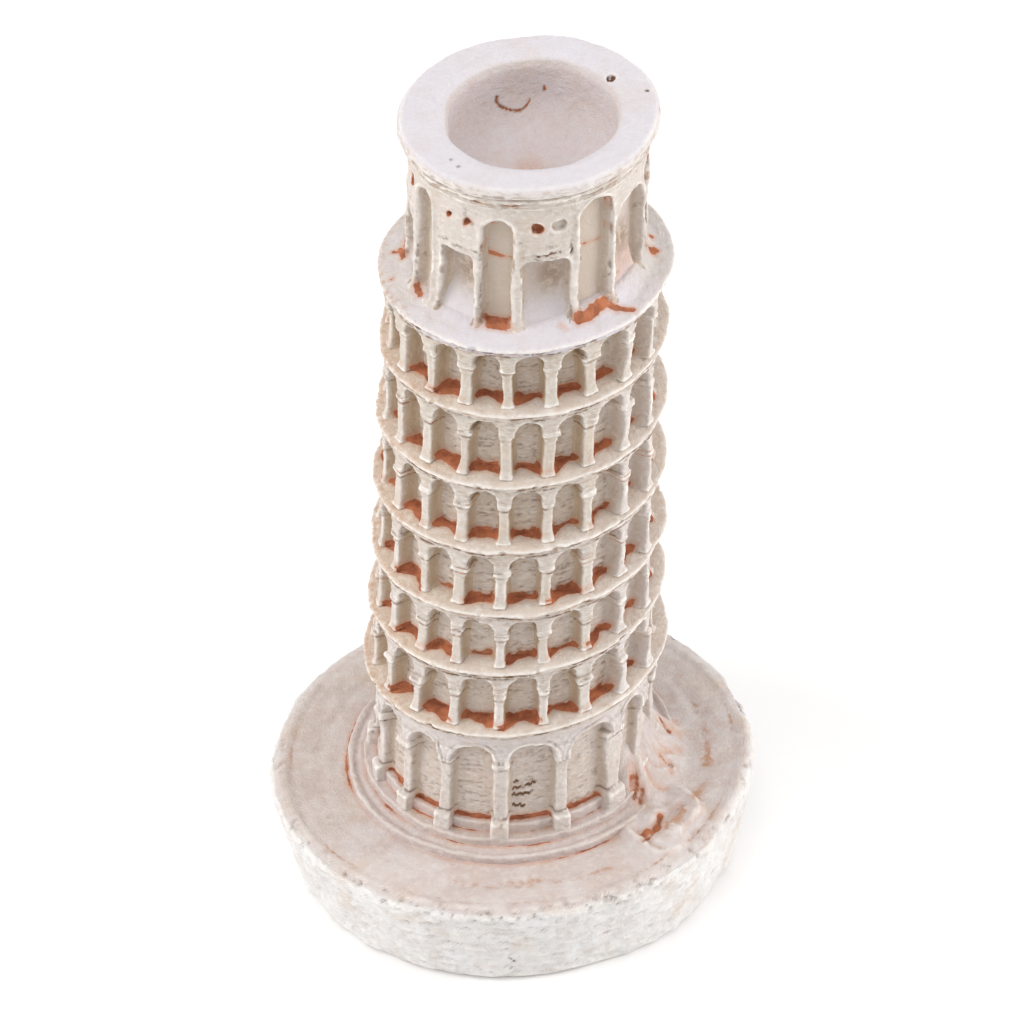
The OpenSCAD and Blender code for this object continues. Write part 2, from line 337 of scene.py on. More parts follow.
def mesh_object(name, v, quads, fans=()):
    """An object with those vertices, in millimetres, quads and fans of triangles: (centre, ring)."""
    tris = [np.stack([np.full(len(ring), centre), ring, np.roll(ring, -1)], 1) for centre, ring in fans]
    tris = np.concatenate(tris) if tris else np.zeros((0, 3), int)
    loops = np.concatenate([quads.ravel(), tris.ravel()])
    starts = np.concatenate([np.arange(len(quads)) * 4, len(quads) * 4 + np.arange(len(tris)) * 3])
    me = bpy.data.meshes.new(name)
    me.vertices.add(len(v))
    me.vertices.foreach_set("co", (v * MM).astype(np.float32).ravel())
    me.loops.add(len(loops))
    me.loops.foreach_set("vertex_index", loops.astype(np.int32))
    me.polygons.add(len(starts))
    me.polygons.foreach_set("loop_start", starts.astype(np.int32))
    me.polygons.foreach_set("use_smooth", np.ones(len(starts), bool))
    me.update(calc_edges=True)
    return add_object(name, me)


MASKS = ("wash", "cavity", "recess", "line", "pink", "stain", "band")


def finish_piece(node, v, quads, slot, roughness=0.03, grain=0.5, fans=(), **masks):
    """Roughens a surface, measures its hollows and edges, and puts it in the scene in its node's place."""
    v = v.reshape(-1, 3)
    turned = outward(v, quads)
    if turned is not quads:
        quads, fans = turned, [(centre, ring[::-1]) for centre, ring in fans]
    n = normals_of(v, quads)
    curve = np.einsum("ij,ij->i", neighbour_mean(v, quads) - v, n)[:, None]
    curve = neighbour_mean(neighbour_mean(curve, quads), quads)[:, 0]
    masks["cavity"] = np.clip(curve * 30, -1, 1)
    lump = layered(v, grain, 2, 3) * roughness * 0.7 + layered(v, 2.6, 2, 9) * roughness * 1.4
    score = np.abs(layered(v * SCORED, 1.3, 2, 17))
    lump = lump - roughness * 1.3 * ramp(score, 0.16, 0.0)
    v = v + n * (lump * ramp(v[:, 2], 0.0, 0.5))[:, None]
    obj = mesh_object(f"{node}.cast", v, quads, fans)
    for name in MASKS:
        data = np.broadcast_to(np.ravel(masks.get(name, 0.0)), len(v)).astype(np.float32)
        obj.data.attributes.new(name, "FLOAT", "POINT").data.foreach_set("value", data)
    obj.data.materials.append(MATERIALS[slot])
    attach(obj, "root")
    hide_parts(node)


def even_profile(points, spacing, passes):
    """A closed profile resampled by each edge's spacing, its corners eased."""
    out = []
    for (a, b), gap in zip(zip(points, points[1:] + points[:1]), spacing):
        a, b = np.array(a, float), np.array(b, float)
        number = max(1, round(float(np.linalg.norm(b - a)) / gap))
        out += [a + (b - a) * k / number for k in range(number)]
    p = np.array(out)
    for _ in range(passes):
        p = (np.roll(p, 1, 0) + 2 * p + np.roll(p, -1, 0)) / 4
    return p


def turned_profile(p, r_outer, step):
    """Angles, radii and heights of the points of p carried round the tower."""
    number = int(FULL * r_outer / step)
    th = np.broadcast_to((np.arange(number) * FULL / number)[:, None], (number, len(p)))
    return th, *(np.broadcast_to(p[:, k], th.shape).copy() for k in (0, 1))


def swept(points, spacing, r_outer, passes=1, step=STEP):
    """Angles, radii and heights of a ring with that closed profile, and its quads."""
    th, r, h = turned_profile(even_profile(points, spacing, passes), r_outer, step)
    return th, r, h, ring_quads(*th.shape, len(th[0]))


def swept_drum(face, low, high, depth, fine, step):
    """The same for a plain drum's shell, and which of its points lie on the face."""
    profile = [(face - depth, low), (face, low), (face, high), (face - depth, high)]
    th, r, h, quads = swept(profile, (depth / 2, fine, depth / 2, 1.5), face, 0, step)
    return th, r, h, quads, r > face - 0.05


# ---- Materials ----

class Graph:
    """A node tree with short calls for the nodes that the materials use."""

    def __init__(self, name):
        self.material = bpy.data.materials.new(name)
        self.material.use_nodes = True
        self.tree = self.material.node_tree
        self.tree.nodes.clear()
        self.place = self.tree.nodes.new("ShaderNodeTexCoord").outputs["Object"]

    def put(self, kind, inputs, **settings):
        node = self.tree.nodes.new(kind)
        for key, value in settings.items():
            setattr(node, key, value)
        for key, value in inputs.items():
            if isinstance(value, bpy.types.NodeSocket):
                self.tree.links.new(value, node.inputs[key])
            else:
                node.inputs[key].default_value = value
        return node

    def mask(self, name):
        return self.put("ShaderNodeAttribute", {}, attribute_name=name).outputs["Fac"]

    def noise(self, size, detail=2.0, rough=0.5, place=None):
        """Noise from 0 to 1 with lumps of that size in millimetres."""
        inputs = {"Vector": place or self.place, "Scale": 1 / (size * MM)}
        return self.put("ShaderNodeTexNoise", {**inputs, "Detail": detail, "Roughness": rough}).outputs[0]

    def streaks(self, size, stretch=5.0):
        """Noise drawn out level, like the marks of a worn mould."""
        inputs = {0: self.place, 1: (1, 1, stretch)}
        squeezed = self.put("ShaderNodeVectorMath", inputs, operation="MULTIPLY")
        return self.noise(size, 3.0, place=squeezed.outputs[0])

    def cells(self, size):
        return self.put("ShaderNodeTexVoronoi", {"Vector": self.place, "Scale": 1 / (size * MM)}).outputs

    def math(self, operation, a, b):
        return self.put("ShaderNodeMath", {0: a, 1: b}, operation=operation).outputs[0]

    def times(self, a, b):
        return self.math("MULTIPLY", a, b)

    def plus(self, a, b):
        return self.math("ADD", a, b)

    def ramp(self, value, low, high, to_low=0.0, to_high=1.0):
        inputs = {"Value": value, "From Min": low, "From Max": high, "To Min": to_low, "To Max": to_high}
        return self.put("ShaderNodeMapRange", inputs, interpolation_type="SMOOTHSTEP").outputs[0]

    def blend(self, factor, a, b):
        return self.put("ShaderNodeMix", {0: factor, 6: a, 7: b}, data_type="RGBA").outputs[2]

    def coat(self, inputs, specular):
        """A Principled surface with those inputs and that constant specular level, and its material."""
        shader = self.put("ShaderNodeBsdfPrincipled", inputs)
        shader.inputs["Specular IOR Level"].default_value = specular
        self.put("ShaderNodeOutputMaterial", {"Surface": shader.outputs[0]})
        return self.material


def colour(r, g, b):
    """A linear colour from 0 to 255 screen values."""
    linear = [((c / 255 + 0.055) / 1.055) ** 2.4 if c > 10 else c / 255 / 12.92 for c in (r, g, b)]
    return (*linear, 1.0)


CHALK_FLECK = colour(234, 229, 223)
# Pale colour of worn edges, which also serves as their painted highlight.
EDGE_WEAR_AND_HIGHLIGHT = colour(243, 237, 230)
SHADE = colour(190, 167, 139)
DUST = colour(190, 168, 146)
BLUSH = colour(206, 182, 158)
# Brown of dirt and painted shade in hollows.
DIRT_AND_SHADE_IN_HOLLOWS = colour(138, 106, 78)
STREAK = colour(166, 130, 98)
TERRACOTTA = colour(196, 124, 88)
DARK_TERRACOTTA = colour(156, 92, 64)
BLEED = colour(208, 160, 132)
STAIN = colour(186, 138, 106)
GRIME = colour(112, 82, 60)
SPECK = colour(80, 62, 50)


def dry_brushed(g, base, strength):
    """Chalky flecks of a paler coat over dustier patches, both drawn out a little along the courses."""
    dust = g.times(g.ramp(g.streaks(1.1, 1.7), 0.46, 0.34), 0.6 * strength)
    chalk = g.times(g.ramp(g.streaks(0.8, 1.5), 0.5, 0.64), 0.8 * strength)
    return g.blend(chalk, g.blend(dust, base, DUST), CHALK_FLECK)


def washed(g, base):
    """Terracotta where the wash has pooled, over a soft orange bleed round it."""
    ragged = g.times(g.math("SUBTRACT", g.noise(1.1, 3.0, 0.55), 0.5), 0.5)
    reach = g.plus(g.mask("wash"), ragged)
    base = g.blend(g.times(g.ramp(reach, -0.6, 0.05), 0.5), base, BLEED)
    paint = g.blend(g.ramp(g.noise(1.6, 3.0), 0.3, 0.72), DARK_TERRACOTTA, TERRACOTTA)
    thin = g.ramp(g.noise(0.5), 0.2, 0.45, 0.75, 1.0)
    return g.blend(g.times(g.ramp(reach, -0.04, 0.1), thin), base, paint)


def grimed_and_shaded(g, base, cavity, dirt_and_shade, streak):
    """Dirt and painted shade in the hollows, dirt in drawn lines, level streaks and fine brown dabs."""
    # Hollows darkened brown: partly dirt, partly painted shade.
    hollow_dirt_and_shade = g.times(g.ramp(cavity, 0.2, 0.85), g.ramp(g.noise(0.9, 4.0), 0.36, 0.58, 0.0, dirt_and_shade))
    base = g.blend(hollow_dirt_and_shade, base, DIRT_AND_SHADE_IN_HOLLOWS)
    line = g.times(g.mask("line"), g.ramp(g.noise(0.9, 4.0, 0.6), 0.36, 0.56))
    base = g.blend(g.math("MINIMUM", line, 1.0), base, GRIME)
    base = g.blend(g.times(g.mask("band"), g.ramp(streak, 0.5, 0.66, 0.0, 0.6)), base, STREAK)
    stain = g.mask("stain")
    dabs = g.plus(g.noise(0.8, 6.0, 0.75), g.times(stain, 0.26))
    dabs = g.times(g.ramp(dabs, 0.6, 0.84), 0.85)
    return g.blend(g.times(dabs, g.math("MINIMUM", stain, 1.0)), base, STAIN)


def speck_mask(g, size, share, width):
    """Scattered specks: a few of the cells hold a small dot."""
    distance, draw = g.cells(size)[:2]
    chosen = g.math("LESS_THAN", draw, share)
    dot = g.ramp(g.plus(distance, g.times(g.noise(0.15), 0.12)), width, width * 1.6, 1.0, 0.0)
    return g.times(chosen, dot)


def resin(name, ground, tint, pink_share, specks=0.06, coarse=0.5, dirt_and_shade=0.6, blush=0.4, edge_wear_and_highlight=1.0, dry=0.4):
    """Cast resin: a mottled pale ground, edges worn paler with a painted highlight, painted shade on
    set-back faces, dirt and painted shade in the hollows, pooled wash, dark lines, streaks and stains,
    specks and a gritty skin.
    """
    g = Graph(name)
    cavity = g.mask("cavity")
    mottle = g.ramp(g.noise(3.2, 3.0), 0.32, 0.7)
    pink = g.plus(g.mask("pink"), g.times(mottle, pink_share))
    base = g.blend(g.math("MINIMUM", pink, 1.0), ground, tint)
    base = g.blend(g.times(g.ramp(g.noise(4.0, 4.0), 0.5, 0.75), blush), base, BLUSH)
    base = dry_brushed(g, base, dry)
    # Convex edges drawn paler: worn paint, plus a painted highlight where the edges would catch the light.
    worn_and_highlit = g.times(g.ramp(cavity, -0.1, -0.6), g.ramp(g.noise(1.2), 0.25, 0.5))
    base = g.blend(g.times(worn_and_highlit, edge_wear_and_highlight), base, EDGE_WEAR_AND_HIGHLIGHT)
    # Painted shade: the shade colour laid over surfaces that an attribute marks as set back from the light.
    base = g.blend(g.times(g.mask("recess"), 0.8), base, SHADE)
    streak = g.streaks(1.1)
    base = grimed_and_shaded(g, washed(g, base), cavity, dirt_and_shade, streak)
    fleck = g.math("MAXIMUM", speck_mask(g, 1.5, specks, 0.06), speck_mask(g, 0.7, specks * 0.8, 0.1))
    base = g.blend(g.times(fleck, 0.85), base, SPECK)
    grain = g.plus(g.noise(0.22, 4.0, 0.6), g.times(g.noise(1.0, 3.0), coarse))
    grain = g.plus(grain, g.times(streak, g.times(g.mask("band"), 2.0)))
    grain = g.math("SUBTRACT", grain, g.times(fleck, 0.6))
    skin = g.put("ShaderNodeBump", {"Strength": 0.8, "Distance": 0.2 * MM, "Height": grain})
    rough = g.ramp(g.noise(0.6), 0.2, 0.8, 0.72, 0.92)
    return g.coat({"Base Color": base, "Roughness": rough, "Normal": skin.outputs[0]}, 0.3)


# Each resin's ground, its tint and the tint's share, and what differs from resin()'s own values.
RESINS = {
    "base_resin": ((231, 230, 229), (203, 189, 184), 0.35, dict(coarse=0.9, dirt_and_shade=0.4, edge_wear_and_highlight=0.5, dry=0.25)),
    "wall_resin": ((204, 192, 178), (212, 200, 192), 0.4, dict(specks=0.09)),
    "ledge_resin": ((216, 206, 197), (211, 191, 172), 0.25, dict(blush=0.2)),
    "column_resin": ((209, 199, 186), (214, 205, 202), 0.2, dict(blush=0.3)),
    "rim_resin": ((208, 198, 187), (220, 215, 220), 0.2, dict(blush=0.15, dry=0.12)),
}
MATERIALS = {
    name: resin(name, colour(*ground), colour(*tint), share, **other)
    for name, (ground, tint, share, other) in RESINS.items()
}


# ---- Surfaces that several pieces share ----

def round_headed(reach, up, crown, round_r):
    """Signed distance to an opening whose jamb lies reach away, its corners rounded; inside is negative."""
    q, t = np.maximum(round_r - reach, 0), np.maximum(up - crown + round_r, 0)
    return np.where((q > 0) & (t > 0), np.hypot(q, t) - round_r, np.maximum(-reach, up - crown))


def wall_face(th, h, r, seed):
    """Radius of a wall of uneven courses, and how deep in a broken groove between them a point lies."""
    sway = 0.25 * wander(th, 11, seed, h * 0.4)
    courses = wander(th, 8, seed + 5, (h + sway) / COURSE_GAP * 2)
    fine = wander(th, 1.6, seed + 1, (h + sway) / 0.16)
    groove = ramp(-courses - 0.9 * fine, 0.25, 0.8)
    lump = 0.07 * wander(th, 6, seed + 2, h * 0.5)
    return r + lump + 0.03 * courses + 0.03 * fine - 0.05 * groove, groove


def nearest(th, phase, count):
    """Which of count even places round the tower is nearest, and the angle from it."""
    k = np.round((th - phase) / (FULL / count))
    return k.astype(int) % count, th - phase - k * FULL / count


def foot_pool(i, th, r):
    """How far inside the wash pooled at the foot of gallery i's wall a point of its ledge lies."""
    k, away = nearest(th, COLUMN_PHASE + FULL / COLUMNS / 2, COLUMNS)
    style = draw(40 + i, COLUMNS, 5)
    share = away / (FULL / COLUMNS / 2)
    room = LEDGE_R[i - 1] - WALL_R[i - 1]
    beside = (0.42 + 0.34 * style[k, 0]) * room
    hill = beside * (0.1 + 0.65 * style[k, 1])
    peak = 0.9 * (style[k, 2] - 0.5)
    reach = hill + (beside - hill) * np.clip(np.abs(share - peak) / 0.85, 0, 1) ** 1.4
    reach = reach * (1 - 0.8 * melting(th) * style[k, 4]) + 0.2 * wander(th, 3, 60 + i)
    return WALL_R[i - 1] + reach * (style[k, 3] > 0.06) - r


def ledge_drop(i, th, r):
    """Height of ledge i over its course level: a worn fall to the lip, and a rise to the belfry's foot."""
    edge = LEDGE_R[i - 1]
    worn = 0.12 * wander(th, 14, 20 + i) + 0.08 * wander(th, 5, 30 + i, r * 0.5)
    fall = np.clip((r - edge + 3.2) / 3.0, 0, 1) ** 1.5
    height = -0.5 * fall + worn * ramp(r, edge - 2.4, edge - 0.8)
    if i <= GALLERIES:
        return height
    swell = 0.35 + 0.9 * facing(th, -30, 0.55, 0.9)
    return height + swell * ramp(r, BELFRY_R + 1.7, BELFRY_R - 0.6) ** 1.5


def near_segment(th, r, a, b):
    """Distance over the floor to the line between two points, each given as (degrees, radius)."""
    x, y = r * np.cos(th), r * np.sin(th)
    (ax, ay), (bx, by) = ((q * math.cos(math.radians(t)), q * math.sin(math.radians(t))) for t, q in (a, b))
    dx, dy = bx - ax, by - ay
    t = np.clip(((x - ax) * dx + (y - ay) * dy) / max(dx * dx + dy * dy, 1e-9), 0, 1)
    return np.hypot(x - ax - t * dx, y - ay - t * dy)


def inside_dabs(th, r, dabs):
    """How far inside the nearest dab a point lies: each is both its ends and half its width."""
    return np.maximum.reduce([half - near_segment(th, r, a, b) for a, b, half in dabs])


def speckled(v):
    """Scattered pits, for faces that came out of the mould rough."""
    return ramp(layered(v, 0.9, 3, 25), 0.75, 1.05)


# ---- Cornices ----

def cornice(i):
    """The floor slab under gallery i, or under the belfry, with its worn and moulded edge."""
    edge, level = LEDGE_R[i - 1], LEVEL[i - 1]
    inner = edge - 5.2
    profile = [
        (inner, 0), (edge - 0.3, 0), (edge, -0.12), (edge - 0.02, -0.36), (edge - 0.26, -0.6),
        (edge - 0.3, -0.86), (edge - 0.3, -1.42), (edge - 0.6, -1.62), (edge - 0.7, -CORNICE_T),
        (inner, -CORNICE_T),
    ]
    th, r, h, quads = swept(profile, [STEP] * 2 + [0.14] * 5 + [STEP, 0.8, 0.9], edge)
    outer = ramp(r, edge - 1.4, edge - 0.3)
    top = ramp(h, -0.7, -0.2)
    side = outer * (1 - ramp(h, -0.6, -0.3))
    gap = bump(h + 0.72, 0.17) * outer
    h = h + ledge_drop(i, th, r) * ramp(h, -1.7, -0.7)
    r = r + outer * (0.16 * wander(th, 11, 70 + i) + 0.06 * wander(th, 6, 80 + i))
    r = r + side * (0.09 * wander(th, 9, 90 + i, h * 3.2) + 0.06 * wander(th, 2.5, 190 + i, h * 5))
    v = in_frame(th, r, level + h)
    chips = ramp(layered(v, 1.5, 3, 5), 0.5, 1.0) * outer
    r = r - 0.26 * chips
    v = in_frame(th, r, level + h)
    pool = foot_pool(i, th, r) if i <= GALLERIES else belfry_pool(th, r)
    broken = ramp(wander(th, 7, 130 + i, h), -0.35, 0.25)
    stain = 0.35 * outer + 0.12 * facing(th, 0, 0.7, 0.95) * (i <= GALLERIES)
    if i <= GALLERIES:
        slot, pink = "ledge_resin", top * (0.15 + 0.6 * ramp(-np.cos(th), 0.1, 0.9))
    else:
        slot, pink = "rim_resin", 0.35 + 0.65 * ramp(-np.sin(th), 0.3, 0.9)
    finish_piece(
        f"cornice_{i}", v, quads, slot, 0.05, 0.55,
        wash=np.where(top > 0.9, pool, gap * (wander(th, 9, 150 + i) > 0.35) - 1.0),
        pink=pink,
        line=1.5 * gap * broken + 0.7 * bump(h + 1.62, 0.16) * (r > edge - 1.2),
        band=side,
        stain=top * (stain + 0.35 * ramp(-np.cos(th), 0.5, 0.95)),
    )


# Wash on the belfry's floor: (degrees, radius) of both ends, and half its width.
BELFRY_SPILL = (
    ((-68, 13.4), (-62, 13.3), 0.5), ((-62, 13.3), (-52, 13.0), 0.5), ((-52, 13.0), (-44, 15.2), 0.4),
    ((-158, 12.9), (-152, 13.1), 0.35),
    ((178, 13.2), (171, 13.6), 0.3), ((174, 13.0), (172, 14.3), 0.2), ((5, 13.6), (5.5, 13.8), 0.25),
    ((-6, 13.6), (-4, 14.0), 0.45), ((-76, 13.4), (-75, 13.7), 0.2), ((-170, 14.8), (-170, 14.9), 0.15),
)


def belfry_pool(th, r):
    """The wash on the belfry's floor: at the foot of some niches, in a forked spill and in a few spots."""
    k, away = belfry_niche(th)
    wide = 0.6 - np.abs(away) * r / 2.4
    full = np.array([1, 0, 1, 1, 0, 1, 0, 0])[k]
    pool = np.where(full, np.minimum(wide, BELFRY_R + 0.5 - r), DRY)
    return np.maximum(pool, inside_dabs(th, r, BELFRY_SPILL)) + 0.12 * wander(th, 2, 91, r)


# ---- Gallery pieces ----

def gallery_wall(i):
    face = WALL_R[i - 1]
    low, high = LEVEL[i - 1] - 0.5, LEVEL[i] - CORNICE_T + 0.4
    th, r, h, quads, outer = swept_drum(face, low, high, 1.6, 0.13, 0.2)
    rough, groove = wall_face(th, h, face, i)
    r = np.where(outer, rough, r)
    v = in_frame(th, r, h)
    up = h - LEVEL[i - 1]
    foot = 0.4 + 0.45 * wander(th, 5, i) + 0.2 * wander(th, 2, i + 9) - up
    finish_piece(
        f"gallery_{i}_wall", v, quads, "wall_resin", 0.03,
        wash=np.minimum(foot, foot_pool(i, th, face) + 0.2),
        line=0.5 * groove * outer,
        band=0.35 * outer,
        # An even painted shade over the whole wall.
        recess=0.15,
        pink=0.3 + 0.4 * (i < 4),
    )


def melting(th):
    """1 on the side where the casting came out soft and drawn, 0 on the rest."""
    return facing(th, -20, 0.72, 0.93)


def set_back(th):
    """1 at the far right, where the columns stand back from the ledges' edge."""
    return facing(th, 5, 0.84, 0.94)


def column_parts(i, th, r, up, top):
    """Signed distance of gallery i's columns, before their floor and their wall."""
    k, away = nearest(th, COLUMN_PHASE, COLUMNS)
    vary = draw(100 + i, COLUMNS, 6) - 0.5
    side = away * r - 0.35 * vary[k, 0] - 0.1 * vary[k, 1] * (up - 2) + 0.08 * wander(th, 5, i, up * 0.6)
    half = 0.56 + 0.2 * vary[k, 2]
    melt = melting(th)
    size = (0.8 + 0.8 * vary[k, 5]) * (1 - 0.6 * melt)
    cap = 0.15 * ramp(up, top - 1.55, top - 1.2) + 0.22 * ramp(up, top - 0.8, top - 0.6)
    foot = np.exp(-np.maximum(up, 0) / 0.45)
    notch = bump(up - top + 1.0, 0.13) + bump(up - top + 0.2, 0.1)
    side = side + 0.4 * melt * wander(th, 6, 31, up * 0.35)
    web = melt * np.clip(np.abs(up - 0.45 * top) / (0.55 * top), 0, 1) ** 3
    half = half * (1 - 0.42 * melt) + 0.3 * web + size * cap + 0.16 * foot - 0.08 * notch
    front = LEDGE_R[i - 1] - 0.95 + 0.4 * melt - 1.2 * set_back(th) + 0.3 * vary[k, 3]
    front = front + 0.8 * size * cap + 0.3 * foot - 0.08 * notch
    return smooth_max(np.abs(side) - half, r - front, 0.25)


def gallery_shade_and_tint(i, th, lit):
    """Masks that paint shade on gallery i's columns and arches toward its wall, by how far they lie behind
    lit, and tint them pink.
    """
    melt = melting(th)
    return {"recess": ramp(lit, 0.0, 0.9) * (1 - 0.7 * melt), "pink": 0.6 - 0.1 * i + 0.4 * melt}


def gallery_columns(i):
    level = LEVEL[i - 1]
    top = LEVEL[i] - CORNICE_T - 2.0 - level
    face = WALL_R[i - 1]
    axes = grid(face - INSET, LEDGE_R[i - 1] + 0.3, -0.5, top + 0.35)
    th, r, up = axes
    shape = column_parts(i, th, r, up, top)
    wall = r - wall_face(th, level + up, face, i)[0] + TUCK
    floor = up - ledge_drop(i, th, r) + TUCK
    f = smooth_min(shape, wall, 0.6)
    f = smooth_min(f, floor, 0.45)
    f = smooth_max(f, up - top, 0.15)
    f = cut(f, face - BEHIND - r, -SUNK - up, shape - 0.5, r - LEDGE_R[i - 1] + 0.25)
    th, r, up, v, quads = surface_of(f, axes, level)
    pool = np.minimum(foot_pool(i, th, r) + 0.1, 0.45 + 0.3 * wander(th, 3, i) - up)
    lines = bump(up - top + 1.0, 0.12) + bump(up - top + 0.16, 0.12)
    finish_piece(
        f"gallery_{i}_columns", v, quads, "column_resin", 0.055,
        wash=np.maximum(pool, lines * 1.2 * (wander(th, 5, i + 3) > 0.4) - 1.0),
        line=0.8 * lines * (1 - melting(th)) * ramp(wander(th, 7, i + 60), -0.5, 0.1),
        band=0.4 * ramp(up, top - 1.3, top - 0.9),
        **gallery_shade_and_tint(i, th, LEDGE_R[i - 1] - 0.8 - r),
    )


def gallery_arches(i):
    level = LEVEL[i]
    face = WALL_R[i - 1]
    edge = LEDGE_R[i] - 0.62
    bottom, top = -CORNICE_T - 2.35, -CORNICE_T + 0.55
    axes = grid(face - INSET, edge + 0.5, bottom - 0.3, top + 0.3)
    th, r, up = axes
    k, away = nearest(th, COLUMN_PHASE, COLUMNS)
    vary = draw(100 + i, COLUMNS, 6) - 0.5
    span = draw(200 + i, COLUMNS, 3) - 0.5
    melt = melting(th)
    side = np.abs(away * r - 0.35 * vary[k, 0]) - 0.84 - 0.2 * vary[k, 2] + 0.35 * melt
    crown = -CORNICE_T - 0.25 + 0.3 * span[k, 0] + 0.12 * wander(th, 4, 53 + i) + 0.3 * melt
    opening = round_headed(side, up, crown, 1.35 + 0.5 * span[k, 1])
    front = edge + 0.12 * wander(th, 6, 33 + i) + 0.1 * wander(th, 7, 43 + i, up * 3) + 0.25 * melt
    front = front - 1.0 * set_back(th)
    shape = smooth_max(r - front, -opening, 0.25)
    wall = r - wall_face(th, level + up, face, i)[0] + TUCK
    f = smooth_min(shape, wall, 0.4)
    f = cut(f, face - BEHIND - r, bottom - up, up - top, shape - 0.4)
    th, r, up, v, quads = surface_of(f, axes, level)
    broken = ramp(wander(th, 6, 230 + i), -0.3, 0.2)
    finish_piece(
        f"gallery_{i}_arches", v, quads, "column_resin", 0.065,
        wash=DRY,
        line=1.2 * bump(up + CORNICE_T + 0.05, 0.13) * (r > edge - 0.4) * broken,
        band=(0.6 - 0.45 * melting(th)) * (r > edge - 0.4),
        **gallery_shade_and_tint(i, th, LEDGE_R[i] - 0.9 - r),
    )


# ---- Ground storey ----

GROUND_TOP = LEVEL[0] - CORNICE_T
SPRING = 12.1  # height of the pilasters' tops


def ground_wall():
    face = GROUND_WALL_R
    th, r, h, quads, outer = swept_drum(face, STEP_TOP[2] - 0.4, GROUND_TOP + 0.4, 1.6, 0.13, STEP)
    rough, groove = wall_face(th, h, face, GROUND_SEED)
    mark = scratches(th, h)
    r = np.where(outer, rough - 0.12 * mark, r)
    v = in_frame(th, r, h)
    finish_piece(
        "ground_wall", v, quads, "wall_resin", 0.045,
        wash=STEP_TOP[2] + 0.5 + 0.2 * wander(th, 4, 8) - h,
        line=np.maximum(0.4 * groove, 2.5 * mark) * outer,
        band=0.3 * outer,
        # An even painted shade over the whole wall.
        recess=0.1,
        pink=0.9,
    )


# Scratches in the bay right of the front pilaster: height, start and end in degrees, and rise.
SCRATCHES = (
    (8.3, -94.0, -89.5, 0.2), (7.3, -93.5, -82.5, 0.6), (6.3, -93.0, -83.5, 0.4), (5.0, -93.5, -87.0, -0.2),
)


def scratches(th, h):
    total = 0
    angle = np.degrees(turn(th))
    for level, start, end, rise in SCRATCHES:
        along = (angle - start) / (end - start)
        wobble = 0.12 * np.sin(angle * 2.3 + level * 5) + 0.06 * np.sin(angle * 5.1 + level)
        inside = ramp(along, -0.05, 0.05) * ramp(along, 1.05, 0.95)
        total = total + inside * bump(h - level - rise * along - wobble, 0.15)
    return np.minimum(total, 1)


# How far each pilaster stands round from its even place, in degrees.
PILASTER_SHIFT = (2.5, 1.0, -0.8, 0.6, 0.0, -1.0, 0.8, 0.3, -0.5, 0.7, 0.0, -1.7, 0.0, 3.2, 7.0, 5.0)


def bay_side(th, r):
    """Distance across the arcade from the nearest pilaster's middle, its random size and its number."""
    places = BAY_PHASE + FULL / BAYS * np.arange(BAYS) + np.radians(PILASTER_SHIFT)
    away = turn(th[..., None] - places)
    k = np.abs(away).argmin(-1)
    away = np.take_along_axis(away, k[..., None], -1)[..., 0]
    return away * r, draw(BAY_SEED, BAYS, 4)[k, 1] - 0.5, k


def ground_columns():
    face = GROUND_WALL_R
    axes = grid(face - INSET, 17.1, 0.5, SPRING + 0.5)
    th, r, h = axes
    side, vary, k = bay_side(th, r)
    melt = melting(th)
    side = side + 0.08 * wander(th, 5, 36, h * 0.7) + 0.8 * melt * wander(th, 9, 37, h * 0.22)
    plinth = ramp(h, 4.3, 3.7)
    head = ramp(h, SPRING - 1.2, SPRING - 0.8)
    notch = bump(h - SPRING + 0.75, 0.12) + bump(h - 4.1, 0.12)
    lump = np.isin(k, LUMPED) * bump(h - SPRING + 0.6, 1.0)
    half = 0.76 + 0.14 * vary + 0.24 * plinth + 0.2 * head - 0.06 * notch + 0.35 * lump + 0.5 * (k == WIDE)
    front = ARCADE_R + 0.1 + 0.85 * plinth + 0.25 * head - 0.06 * notch + 0.2 * vary + 0.6 * lump
    front = front + 0.08 * wander(th, 6, 38, h * 1.2)
    shape = smooth_max(np.abs(side) - half, r - front, 0.35)
    wall = r - wall_face(th, h, face, GROUND_SEED)[0] + TUCK
    f = smooth_min(shape, wall, 0.55)
    f = smooth_max(f, h - SPRING, 0.1)
    f = cut(f, face - BEHIND - r, 0.8 - h, shape - 0.45)
    th, r, h, v, quads = surface_of(f, axes)
    finish_piece(
        "ground_columns", v, quads, "column_resin", 0.065,
        wash=np.minimum(STEP_TOP[2] + 0.5 - h, ARCADE_R - 0.5 - r),
        line=0.8 * (bump(h - 4.15, 0.12) + bump(h - SPRING + 0.75, 0.12)) + 0.5 * speckled(v),
        # Painted shade, deeper toward the wall.
        recess=0.6 * ramp(ARCADE_R - 0.1 - r, 0.0, 0.8),
        pink=0.5,
    )


def ground_opening(th, r, h):
    """Signed distance to the round-headed openings of the ground arcade, and the way across it."""
    side, vary, _ = bay_side(th, r)
    return round_headed(np.abs(side) - 0.85, h, SPRING + 2.3 + 0.25 * vary, 2.15), side


